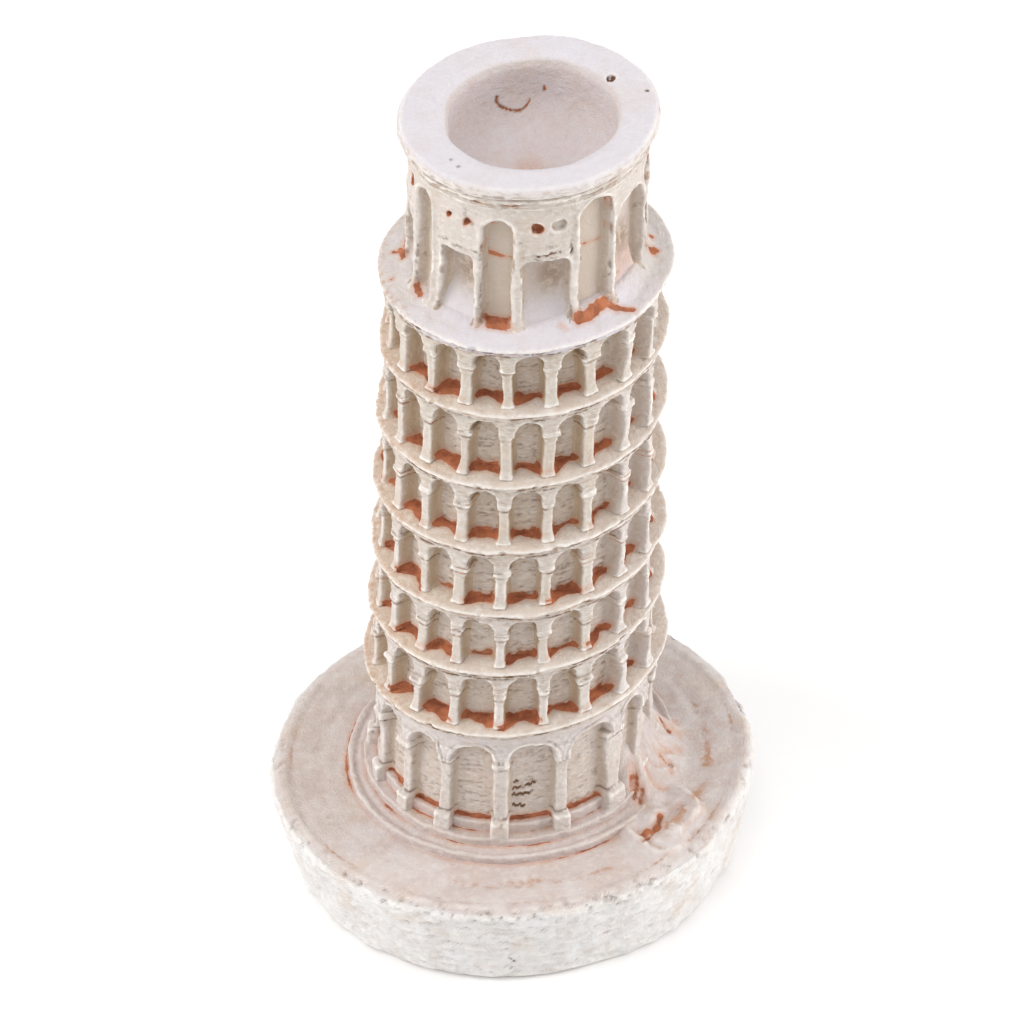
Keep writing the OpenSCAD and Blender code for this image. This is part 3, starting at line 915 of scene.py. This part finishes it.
def ground_arches():
    face = GROUND_WALL_R
    low, high = SPRING - 0.4, GROUND_TOP + 0.45
    axes = grid(face - INSET, 16.4, low - 0.3, high + 0.3)
    th, r, h = axes
    opening, side = ground_opening(th, r, h)
    moulding = bump(opening - 0.3, 0.2) + 0.6 * bump(opening - 0.9, 0.18)
    impost = ramp(h, SPRING + 1.9, SPRING + 1.7) * ramp(np.abs(side), 1.15, 0.95)
    front = ARCADE_R + 0.26 * moulding + 0.3 * impost + 0.7 * ramp(h, GROUND_TOP - 1.6, GROUND_TOP - 0.2)
    front = front + 0.12 * wander(th, 8, 17) + 0.06 * wander(th, 5, 18, h * 2)
    shape = smooth_max(r - front, -opening, 0.25)
    wall = r - wall_face(th, h, face, GROUND_SEED)[0] + TUCK
    f = smooth_min(shape, wall, 0.35)
    f = cut(f, face - BEHIND - r, low - h, h - high, shape - 0.35)
    th, r, h, v, quads = surface_of(f, axes)
    opening, side = ground_opening(th, r, h)
    broken = ramp(wander(th, 5, 240, h), -0.2, 0.3)
    edges = bump(opening - 0.62, 0.12) + 0.6 * bump(opening - 0.05, 0.12)
    finish_piece(
        "ground_arches", v, quads, "column_resin", 0.06,
        wash=DRY,
        line=(0.8 * bump(h - GROUND_TOP - 0.1, 0.2) + 0.6 * edges * broken) * (r > ARCADE_R - 0.5),
        # Painted shade, deeper toward the wall.
        recess=0.6 * ramp(ARCADE_R - 0.3 - r, 0.0, 0.8),
        pink=0.8,
    )


# ---- Foot steps and base ----

def foot_step(name, number):
    edge, top = STEP_R[number], STEP_TOP[number]
    low = STEP_TOP[number - 1] - 0.4 if number else -0.5
    inner = 12.5
    profile = [(inner, low), (edge, low), (edge, top - 0.16), (edge - 0.14, top), (inner, top)]
    th, r, h, quads = swept(profile, (0.9, STEP, 0.1, 0.14, 0.8), edge)
    upper = ramp(h, top - 0.5, top - 0.1)
    outer = ramp(r, edge - 0.9, edge - 0.2)
    if number == 0:
        h = h - 0.25 * upper * bump(r - (STEP_R[1] + 0.95), 0.3)
    r = r + outer * (0.14 * wander(th, 12, number + 1) + 0.1 * wander(th, 4, number + 7))
    h = h + upper * 0.08 * wander(th, 9, number + 3)
    v = in_frame(th, r, h)
    wash = step_wash(number, th, r)
    finish_piece(f"foot_step_{name}", v, quads, "base_resin", 0.05, wash=wash, pink=0.9, stain=0.25 * upper)


def step_wash(number, th, r):
    """Broken lines of wash at the foot of the riser that stands on each tread."""
    foot_r = (STEP_R[1], STEP_R[2], GROUND_WALL_R)[number]
    width = (0.0, 0.16, 0.24)[number]
    patchy = 0.6 * wander(th, 15, number + 40) + 0.35 * wander(th, 5, number + 50)
    return width + 0.45 * patchy - np.abs(r - foot_r)


def base_edge(th):
    """How far the base's outline stands from a circle."""
    return 0.28 * wander(th, 24, 1) + 0.16 * wander(th, 9, 2) + 0.08 * wander(th, 3.5, 3)


def base_disc():
    hub, foot_r = 0.6, 24.7
    profile = [
        (hub, 0), (12, 0), (14.5, 0), (BASE_R - 0.9, 0), (BASE_R - 0.3, -0.35), (BASE_R, -0.9),
        (foot_r + 0.25, -BASE_H + 0.7), (foot_r - 0.4, -BASE_H), (hub, -BASE_H),
    ]
    p = even_profile(profile, (2.0, 0.6, 0.21, 0.21, 0.21, 0.21, 0.3, 1.2, 0.2), 0)
    p = p[:np.argmin(np.abs(p[:, 0] - hub) + np.abs(p[:, 1] + BASE_H)) + 1]
    th, r, h = turned_profile(p, BASE_R, 0.25)
    number, columns = th.shape
    top = ramp(h, -0.5, -0.1)
    side = (1 - top) * ramp(h, -BASE_H, -BASE_H + 0.8)
    r = r + ramp(r, 10, BASE_R) * base_edge(th)
    h = h + top * base_relief(th, r)
    v = in_frame(th, r, h)
    drawn = v * np.array([1, 1, 2.6])
    chalk = layered(drawn, 1.5, 3, 4)
    lumps = layered(v, 4.5, 4, 6)
    tooth = np.abs(layered(drawn, 0.7, 2, 8))
    r = r + side * (0.24 * lumps + 0.2 * chalk - 0.16 * tooth)
    rim = bump(h + 0.6, 0.75) * (r > BASE_R - 2)
    worn = ramp(layered(v * np.array([1, 1, 1.6]), 0.9, 3, 14), 0.15, 0.95)
    r = r - rim * 0.34 * worn
    v = in_frame(th, r, h)
    masks = {
        "wash": base_wash(th, r, top),
        "pink": 0.7 * top * ramp(r, BASE_R + 0.2, BASE_R - 1.2),
        "line": 0.55 * bump(h + 0.55, 0.5) * (r > BASE_R - 2) * worn + base_crack(th, h) * side,
        "stain": base_stain(th, r) * top + 0.3 * rim,
        # Painted shade on the base's top toward the back left.
        "recess": 0.12 * top * facing(th, 165, 0.3, 0.95),
    }
    quads = ring_quads(number, columns, columns - 1)
    v = np.concatenate([v.reshape(-1, 3), [[0, 0, BASE_H], [0, 0, 0]]])
    masks = {key: np.append(mask, [mask.flat[0]] * 2) for key, mask in masks.items()}
    first = np.arange(number) * columns
    fans = [(len(v) - 2, first), (len(v) - 1, (first + columns - 1)[::-1])]
    finish_piece("base_disc", v, quads[:, ::-1], "base_resin", 0.03, 0.8, fans, **masks)


# Wash in the pockets of the skirt at the right: (degrees, radius) of both ends, and half its width.
SKIRT_DABS = (
    ((-37, 16.4), (-33, 15.7), 0.45), ((-37.5, 17.4), (-34, 16.9), 0.25), ((-44, 21.4), (-39, 20.5), 0.4),
    ((-50, 21.6), (-45, 21.3), 0.3), ((-19, 18.5), (-15, 18.1), 0.12), ((1, 17.5), (4, 16.8), 0.35),
)


def skirt_dabs(th, r):
    """How far inside the nearest of those pockets a point of the base's top lies."""
    return inside_dabs(th, r, SKIRT_DABS) + 0.22 * wander(th, 2.2, 92, r)


def base_relief(th, r):
    """Worn rings in the base's top, its gentle lumps, and the drawn apron and patch at the right."""
    swell = 0.12 * wander(th, 20, 12, r * 0.3) + 0.06 * wander(th, 6, 13, r * 0.8)
    worn = 0.5 + 0.5 * wander(th, 18, 15)
    rings = -0.2 * worn * bump(r - 21.4 - 0.5 * wander(th, 25, 14), 0.6)
    rings = rings - 0.16 * (1.1 - worn) * bump(r - 24.7 - 0.3 * wander(th, 16, 16), 0.5)
    flat = rings + swell + porch(th, r)[0] - 0.35 * ramp(r, BASE_R - 1.6, BASE_R - 0.2)
    return smooth_max(flat, apron(th, r), 0.4) - 0.45 * ramp(skirt_dabs(th, r), -0.2, 0.3)


def base_wash(th, r, top):
    """Wash on the base's top: round the lowest step, in the skirt's folds and round the worn patch."""
    foot = 0.05 + 0.5 * wander(th, 16, 29) - np.abs(r - STEP_R[0] - 0.15)
    foot = foot - facing(th, SKIRT, 0.8, 0.9)
    folds = 0.2 - 2.2 * apron_fold(th, r) - 1.5 * np.maximum(np.abs(r - 17.5) - 1.5, 0)
    folds = folds + 0.9 * np.minimum(wander(th, 4, 89, r * 0.6), 0)
    folds = np.where(facing(th, SKIRT, 0.84, 0.95) > 0.5, np.clip(folds, -0.6, -0.03), DRY)
    pools = [foot, folds, porch(th, r)[1], np.minimum(skirt_dabs(th, r), 0.06)]
    return np.where(top > 0.5, np.maximum.reduce(pools), DRY)


def base_stain(th, r):
    """Brown dabs round the worn ring, most at the front and right, and thin arcs on both sides of it."""
    strength = 0.5 + 0.5 * facing(th, -40, -0.2, 0.9) + 0.15 * facing(th, 8, 0.8, 0.95)
    worn = bump(r - 22.3 - 0.7 * wander(th, 20, 21), 1.1) * ramp(wander(th, 5, 24, r * 0.8), -0.4, 0.4)
    arc = 0.9 * bump(r - 24.9 - 0.2 * wander(th, 12, 25), 0.25) * ramp(wander(th, 14, 26), -0.2, 0.3)
    inner = 0.5 * bump(r - 19.2, 0.5) * ramp(wander(th, 8, 27), 0.0, 0.5)
    return strength * worn + arc + inner


def apron_fold(th, r):
    """Ridged folds that run outward, 0 in their creases."""
    drawn = th + 0.03 * np.sin(1.3 * r + 4 * th)
    return np.abs(wander(drawn, 6, 86, r * 0.2) + 0.5 * wander(drawn, 3, 87, r * 0.3))


def apron(th, r):
    """Height of the soft skirt that hides the steps where the casting was drawn, at the right."""
    share = facing(th, SKIRT, 0.78, 0.97)
    slope = 4.8 * np.clip((20.6 - r) / 5.2, 0, 1.25) ** 2
    fold = np.minimum(apron_fold(th, r), 0.5) * ramp(r, 20.5, 17.5) * ramp(r, 14.4, 16)
    return share * (slope + 0.9 * fold) - 2 * (1 - share)


def base_crack(th, h):
    """A thin upright crack low on the front of the side."""
    bend = 0.5 * np.sin(h * 2.1) + 0.3 * np.sin(h * 5.3)
    across = (np.degrees(turn(th)) + 93.5 - bend) * 0.45
    crack = bump(across, 0.14) * ramp(h, -9.9, -9.2) * ramp(h, -6.6, -7.2)
    return 1.3 * crack


def porch(th, r):
    """Height, and depth of wash, of the worn patch raised on the base at the front right."""
    angle = np.degrees(turn(th - math.radians(PATCH)))
    outline = 1.9 * wander(th, 8, 81) + 22.6 - 0.012 * (angle + 6) ** 2
    patch = ramp(np.abs(angle), 17, 12) * ramp(r, outline + 3.4, outline + 1.8)
    left_edge = bump((angle + 11.5) * r / DEGREES - 0.4 * np.sin(r * 1.3), 0.35)
    left_edge = left_edge * ramp(r, 18.6, 19.6) * ramp(r, 24.6, 23.8)
    groove = r - 21.3 - 0.5 * wander(th, 9, 82) - 0.04 * angle
    groove = bump(groove, 0.75) * ramp(np.abs(angle + 2), 12.5, 8.5)
    height = patch * (0.9 + 0.45 * wander(th, 6, 83, r * 0.6)) - 0.5 * groove - 0.35 * left_edge
    hem = 0.3 * wander(th, 5, 85) - np.abs(r - outline - 2.3 - 0.2 * wander(th, 4, 84))
    hem = np.where(np.abs(angle + 3) < 13, hem - 0.15, DRY)
    worn = 0.9 * wander(th, 3, 88, r * 1.3)
    wash = np.maximum.reduce([(0.55 + worn) * groove - 0.75, 0.85 * left_edge - 0.93, hem])
    return height, wash


# ---- Belfry ----

def belfry_glow(th, up):
    """The soft orange stain low in the tall doorway at the right."""
    d, door = belfry_door(th)
    inside = (d == TALL_DOOR) & (np.abs(door) < math.radians(13))
    return np.where(inside, -0.06 - 0.12 * np.abs(up - 2.2), DRY)


def belfry_wall():
    """The belfry's drum, with wash at the foot of every other niche and in bars across some of them, and
    painted shade in its niches and doorways.
    """
    face = BELFRY_WALL_R
    th, r, h, quads, outer = swept_drum(face, LEVEL[-1] - 0.5, BELFRY_TOP + 0.3, 1.2, 0.16, 0.18)
    up = h - LEVEL[-1]
    k, niche = belfry_niche(th)
    in_niche = np.abs(niche) < NICHE_HALF
    v = in_frame(th, r, h)
    r = r + outer * (belfry_lining(th, up) + 0.1 * layered(v, 2.5, 2, 15))
    v = in_frame(th, r, h)
    pool = np.where(in_niche & (k % 2 == 1), 0.55 - up, DRY)
    bar = np.where(k == RIGHT_NICHE, 0.05, 0.22) + 0.2 * wander(th, 3, 72)
    bar = bar - np.abs(up - 8.8 + 0.15 * niche * face)
    pool = np.maximum(pool, np.where(in_niche & np.isin(k, BARRED), bar, DRY))
    crown = up - 13.4 - 2.5 * niche * face * 0.2
    crown = np.where(in_niche & (k == LEFT_NICHE) & (niche < 0), crown, DRY)
    _, door = belfry_door(th)
    pool = np.maximum.reduce([pool, np.minimum(crown, 0.4), belfry_glow(th, up)])
    # A patch of painted shade deep in each doorway, laid on both in the shade colour and in the dark line
    # colour.
    painted_door_shade = bump(up - 5.8, 2.4) * bump(door * face - 0.6, 1.7) * ~in_niche
    finish_piece(
        "belfry_wall", v, quads, "rim_resin", 0.02,
        wash=pool,
        # Painted shade: in the niches, and in the doorways growing upward.
        recess=np.where(in_niche, 0.55, 0.1 + 0.45 * ramp(up, 0.5, 5) + 0.4 * painted_door_shade),
        pink=np.where(in_niche, 0.2, 0.9),
        line=0.5 * painted_door_shade,
    )


# How far each niche stands round from its place in degrees, half its width and its height in millimetres.
NICHES = (
    (0.0, 1.5, 14.3), (1.0, 1.4, 14.6), (-1.0, 1.6, 14.0), (0.5, 1.5, 14.4),
    (-1.0, 1.4, 14.2), (-1.2, 1.65, 14.2), (3.4, 1.9, 15.2), (4.5, 1.3, 14.6),
)
# The same for the doorways, and the radius of each one's head.
DOORWAYS = (
    (0.0, 2.4, 8.8, 0.6), (0.0, 2.3, 9.0, 0.5), (0.0, 2.5, 8.7, 0.8), (0.0, 2.3, 8.8, 0.5),
    (0.0, 2.4, 8.9, 0.6), (0.8, 2.65, 8.8, 1.1), (6.0, 2.9, 12.8, 2.6), (3.0, 2.1, 9.0, 0.8),
)


def belfry_niche(th):
    """The nearest niche, and the angle from its middle."""
    k, away = nearest(th, NICHE_PHASE, DOORS)
    return k, away - np.radians(np.array(NICHES)[k][..., 0])


def belfry_door(th):
    k, away = nearest(th, DOOR_PHASE, DOORS)
    return k, away - np.radians(np.array(DOORWAYS)[k][..., 0])


def belfry_lining(th, up):
    """How far the casting fills the openings before the belfry's wall, with a slope at their foot."""
    _, niche = belfry_niche(th)
    d, door = belfry_door(th)
    in_niche = np.abs(niche) < NICHE_HALF
    tall = (d == TALL_DOOR) & ~in_niche
    slope = np.exp(-np.maximum(up, 0) / np.where(tall, 2.6, 1.7)) * 1.35
    fill = np.where(in_niche, 0.5 + 0.25 * slope, 0.12 + 6 * np.minimum(np.abs(door), 0.22) ** 2 + slope)
    return np.minimum(fill, BELFRY_R - 0.4 - BELFRY_WALL_R)


def lintel_crack(r, up, k, door):
    """Cracks over the doorways: a long one over the front door, with an upright one at its right."""
    side = door * r
    front = k == FRONT_DOOR
    sway = 0.1 * np.sin(side * 3.1) + 0.07 * np.sin(side * 7.7)
    over = bump(up - 9.8 - 0.1 * side * front - sway, 0.16) * ramp(np.abs(side), 2.9, 2.5)
    under = bump(up - 9.2 - sway, 0.1) * ramp(np.abs(side), 2.6, 2.2) * 0.5
    upright = bump(side - 2.6 - 0.1 * np.sin(up * 4), 0.14) * ramp(up, 8.9, 9.3) * ramp(up, 12.0, 11.4)
    return np.where(front, np.maximum(over, upright), 0.45 * over) + under * front


# Radius of the round recesses left and right of each doorway's middle, and whether the wash filled them.
EYES = (
    ((0.5, 1), (0.6, 0)), ((0.6, 1), (0.4, 1)), ((0.5, 0), (0.6, 1)), ((0.6, 1), (0.5, 1)),
    ((0.36, 1), (0.5, 1)), ((0.62, 1), (0.74, 0)), ((0.5, 0), (0.5, 0)), ((0.6, 1), (0.5, 1)),
)


def belfry_eyes(th, r, up):
    """Signed distance to the recesses over the doorways, and where they hold wash."""
    k, door = belfry_door(th)
    size, full = np.moveaxis(np.array(EYES)[k, (door > 0).astype(int)], -1, 0)
    away = np.hypot((np.abs(door) - EYE_ANGLE) * r, up - EYE_LEVEL)
    away = away - size - 0.2 * wander(th, 3, 47, up)
    return np.where(k == TALL_DOOR, 1.0, away), full * (k != TALL_DOOR)


def belfry_openings(th, r, up):
    """Signed distances to the niches and to the doorways; inside is negative."""
    k, niche = belfry_niche(th)
    half, tall = np.moveaxis(np.array(NICHES)[k], -1, 0)[1:]
    niche = niche + 0.012 * wander(th, 9, 45, up * 0.4)
    niche_f = round_headed(half - np.abs(niche * r), up, tall, half)
    k, door = belfry_door(th)
    half, tall, head = np.moveaxis(np.array(DOORWAYS)[k], -1, 0)[1:]
    door = door + 0.015 * wander(th, 9, 46, up * 0.4)
    taper = 0.06 * up * (k == LEFT_DOOR)
    return niche_f, round_headed(half - taper - np.abs(door * r), up, tall, head)


def belfry_arcade():
    level = LEVEL[-1]
    face = BELFRY_WALL_R
    high = BELFRY_TOP - level
    axes = grid(face - INSET, BELFRY_R + 0.9, -0.5, high + 0.6, 0.187)
    th, r, up = axes
    niche_f, door_f = belfry_openings(th, r, up)
    k, door = belfry_door(th)
    eyes = np.maximum(belfry_eyes(th, r, up)[0], BELFRY_R - 0.7 - r)
    strip = bump(niche_f - 0.5, 0.32) + 0.7 * bump(door_f - 0.3, 0.3)
    lintel = bump(up - 9.9, 0.5) * ramp(np.abs(door * r), 2.7, 2.4)
    crack = lintel_crack(r, up, k, door)
    front = BELFRY_R - 0.12 + 0.24 * strip + 0.16 * lintel + 0.1 * ramp(up, high - 1.2, high - 0.6)
    front = front + 0.3 * np.exp(-np.maximum(up, 0) / 0.5)
    front = front + 0.16 * wander(th, 7, 44, up * 0.5) - 0.2 * crack
    shape = smooth_max(r - front, -smooth_min(niche_f, door_f, 0.2), 0.3)
    shape = smooth_max(shape, -eyes, 0.25)
    wall = r - face - belfry_lining(th, up) + TUCK
    floor = up - ledge_drop(GALLERIES + 1, th, r) + TUCK
    f = smooth_min(shape, wall, 0.7)
    f = smooth_min(f, floor, 0.6)
    f = cut(f, face - 0.3 - r, -SUNK - up, up - high - 0.3, shape - 0.6, r - BELFRY_R - 0.7)
    th, r, up, v, quads = surface_of(f, axes, level)
    k, door = belfry_door(th)
    broken = ramp(wander(th, 4, 73, up), -0.3, 0.2)
    eye, full = belfry_eyes(th, r, up)
    filled = np.where(full > 0, 0.15 - np.maximum(eye, -0.1) * 1.6 + 0.3 * wander(th, 2, 71, up), DRY)
    outline = np.minimum(*np.abs(belfry_openings(th, r, up)))
    edges = bump(outline - 0.12, 0.18) * ramp(wander(th, 3, 75, up * 0.8), -0.1, 0.4)
    foot = np.minimum(belfry_pool(th, r) + 0.05, 0.5 - up + ledge_drop(GALLERIES + 1, th, r))
    inner = np.where(r < BELFRY_R - 0.1, belfry_glow(th, up), DRY)
    shown = 0.7 * ramp(r, BELFRY_R - 0.5, BELFRY_R - 0.2)
    finish_piece(
        "belfry_arcade", v, quads, "column_resin", 0.055,
        wash=np.maximum.reduce([filled, foot, inner, edges * ramp(up, 6, 12) - 0.82]),
        line=1.5 * lintel_crack(r, up, k, door) * broken + 0.4 * speckled(v) + edges * shown,
        # Painted shade, deeper toward the wall.
        recess=0.7 * ramp(BELFRY_R - 0.4 - r, 0.0, 1.0),
        pink=0.35,
    )


def belfry_entablature():
    low, mid, high = BELFRY_TOP, (BELFRY_TOP + ENTABLATURE_TOP) / 2, ENTABLATURE_TOP
    inner = 10.2
    profile = [
        (inner, low - 0.05), (BELFRY_R + 0.15, low - 0.05), (BELFRY_R + 0.3, low + 0.3),
        (BELFRY_R + 0.22, mid - 0.1), (RIM_R - 0.75, mid + 0.05), (RIM_R - 0.5, mid + 0.35),
        (RIM_R - 0.6, high - 0.15), (RIM_R - 0.95, high - 0.02), (RIM_R - 1.0, high + 0.2),
        (inner, high + 0.2),
    ]
    th, r, h, quads = swept(profile, [0.7] + [0.12] * 7 + [0.7, 0.9], RIM_R)
    outer = ramp(r, BELFRY_R - 0.8, BELFRY_R)
    r = r + outer * (0.12 * wander(th, 10, 51) + 0.2 * wander(th, 17, 54, h * 3.4))
    r = r + outer * (0.1 * wander(th, 3, 52, h * 2) + 0.12 * np.cos(2 * th))
    v = in_frame(th, r, h)
    lines = bump(h - high, 0.14) + bump(h - mid, 0.12) + 0.7 * bump(h - low - 0.5, 0.1)
    lines = lines * ramp(wander(th, 8, 55, h), -0.2, 0.25)
    finish_piece(
        "belfry_entablature", v, quads, "column_resin", 0.08,
        line=0.8 * lines,
        wash=1.1 * lines * (wander(th, 12, 53, h) > 0.0) - 0.85,
        band=0.5 * outer,
        pink=0.3,
    )


# Marks on the rim: degrees, radius, half size and depth.
RIM_MARKS = (
    (29.5, 10.3, 0.45, 1.0), (11, 12.9, 0.14, 0.6), (-140, 11.2, 0.2, 0.25), (-133, 11.6, 0.16, 0.2),
)


def rim_marks(th, r):
    total = 0
    for angle, radius, size, depth in RIM_MARKS:
        point = (angle, radius)
        away = near_segment(th, r, point, point)
        total = total + depth * ramp(away + 0.1 * wander(th, 1.5, 67, r), size + 0.12, size - 0.05)
    return total


def bowl_scar(th, deep):
    """A curved scratch on the bowl's back wall, and a small nick beside it."""
    across = turn(th - math.radians(97.5)) * 8.4
    curve = np.abs(np.hypot(across / 1.25, deep - 4.6) - 1.45 + 0.1 * np.sin(across * 2))
    scratch = ramp(curve, 0.22, 0.08) * (deep > 4.6 - 0.3 * across)
    nick = ramp(np.hypot(turn(th - math.radians(77)) * 9 / 0.2, (deep - 3.9) / 0.45), 1.2, 0.8)
    return np.maximum(scratch, nick)


def top_rim():
    low, high = ENTABLATURE_TOP, RIM_TOP
    floor, bowl_r, axis_r = high - WELL_DEPTH, 4.6, 0.03
    inner = [(WELL_R + 0.45, high - 0.3), (WELL_R + 0.08, high - 1.1), (WELL_R, floor + bowl_r)]
    bowl = [(WELL_R - bowl_r * (1 - math.cos(a)), floor + bowl_r - bowl_r * math.sin(a))
            for a in np.linspace(0.25, math.pi / 2, 7)]
    back = [(axis_r, floor - 0.6), (WELL_R - 3.5, floor - 0.6)]
    back += [(WELL_R + 0.5, floor + 2.6), (WELL_R + 0.6, low + 0.1)]
    profile = [(RIM_R - 0.5, low), (RIM_R, low + 0.5), (RIM_R, high - 0.55), (RIM_R - 0.45, high)]
    profile += [(WELL_R + 1.4, high)] + inner + bowl + [(axis_r, floor)] + back
    spacing = [STEP] * 4 + [0.12] * 4 + [0.2] * len(bowl) + [0.2, 0.3, 1.0, 1.0, 1.0]
    th, r, h, quads = swept(profile, spacing, RIM_R, 3, 0.18)
    outer = ramp(r, WELL_R + 1.5, RIM_R - 0.5)
    inside = ramp(r, WELL_R + 0.7, WELL_R - 0.1) * ramp(h, floor - 0.3, floor - 0.1)
    flat = ramp(h, high - 0.5, high - 0.1)
    r = r + outer * (0.2 * np.cos(2 * th) + 0.16 * wander(th, 26, 61) + 0.09 * wander(th, 7, 62))
    r = r + (1 - outer) * (0.14 * wander(th, 20, 63) + 0.4 * np.cos(th)) * ramp(r, 2, WELL_R)
    h = h + 0.1 * wander(th, 16, 64) * flat
    mark = rim_marks(th, r) * flat
    scar = bowl_scar(th, high - h) * inside
    h = h - 0.5 * np.minimum(mark, 1)
    r = r + 0.12 * scar
    v = in_frame(th, r, h)
    centre = ramp(r, 3.4, 1.0) * inside
    edge_line = 0.7 * bump(h - high + 0.95, 0.16) * outer * ramp(wander(th, 6, 68, h), 0.0, 0.5)
    finish_piece(
        "top_rim", v, quads, "rim_resin", 0.035,
        pink=0.3 + 0.7 * flat + 0.35 * inside,
        wash=np.maximum(1.1 * scar - 0.95, (inside > 0.5) * (0.6 + 0.25 * centre) - 1.0),
        line=3 * mark + edge_line + 0.5 * scar * ramp(wander(th, 3, 66), -0.2, 0.3),
        stain=0.5 * centre,
        band=0.6 * outer * (1 - flat),
    )


# ---- Scene ----

def camera():
    """Looks at the tower as the reference view does: 40 degrees down, from far off, rolled a little."""
    elevation, roll = math.radians(39.88), math.radians(-3.8)
    distance = 1.1702
    target = Vector((1.81, 0, BASE_H + 35.24)) * MM
    back = Vector((0, -math.cos(elevation), math.sin(elevation)))
    right = Vector((1, 0, 0))
    up = Vector((0, math.sin(elevation), math.cos(elevation)))
    x = math.cos(roll) * right + math.sin(roll) * up
    y = -math.sin(roll) * right + math.cos(roll) * up
    data = bpy.data.cameras.new("camera")
    data.sensor_fit = "HORIZONTAL"
    data.angle = math.radians(5.5)
    data.clip_start, data.clip_end = 0.05, 20
    obj = add_object("camera", data)
    turned = Matrix((x, y, back)).transposed().to_4x4()
    obj.matrix_world = Matrix.Translation(target + back * distance) @ turned
    bpy.context.scene.camera = obj


def pale_floor():
    size = 6.0
    me = bpy.data.meshes.new("floor")
    corners = [(-size, -size, 0), (size, -size, 0), (size, size, 0), (-size, size, 0)]
    me.from_pydata(corners, [], [(0, 1, 2, 3)])
    obj = add_object("floor", me)
    g = Graph("pale_floor")
    tone = g.blend(g.noise(40.0), colour(250, 250, 250), colour(252, 252, 252))
    me.materials.append(g.coat({"Base Color": tone, "Roughness": 0.9}, 0.1))


def area_light(name, place, size, power, tint):
    data = bpy.data.lights.new(name, "AREA")
    data.shape = "DISK"
    data.size, data.energy, data.color = size, power, tint
    obj = add_object(name, data)
    obj.location = place
    aim = Vector((0, 0, 0.05)) - Vector(place)
    obj.rotation_euler = aim.to_track_quat("-Z", "Y").to_euler()


def studio():
    scene = bpy.context.scene
    scene.view_settings.view_transform = "Standard"
    world = bpy.data.worlds.new("studio")
    world.use_nodes = True
    background = world.node_tree.nodes["Background"]
    background.inputs["Color"].default_value = (1, 1, 1, 1)
    background.inputs["Strength"].default_value = 0.64
    scene.world = world
    area_light("overhead", (-0.2, -0.25, 1.0), 1.0, 4.6, (1.0, 0.99, 0.98))
    area_light("left", (-0.9, -0.05, 0.3), 0.6, 3.8, (1.0, 0.99, 0.99))
    area_light("right", (0.9, -0.1, 0.3), 0.6, 5.0, (1.0, 0.99, 0.99))


camera()
pale_floor()
studio()
base_disc()
for number, name in enumerate(("lower", "middle", "upper")):
    foot_step(name, number)
ground_wall()
ground_columns()
ground_arches()
for i in range(1, GALLERIES + 2):
    cornice(i)
for i in range(1, GALLERIES + 1):
    gallery_wall(i)
    gallery_columns(i)
    gallery_arches(i)
belfry_wall()
belfry_arcade()
belfry_entablature()
top_rim()
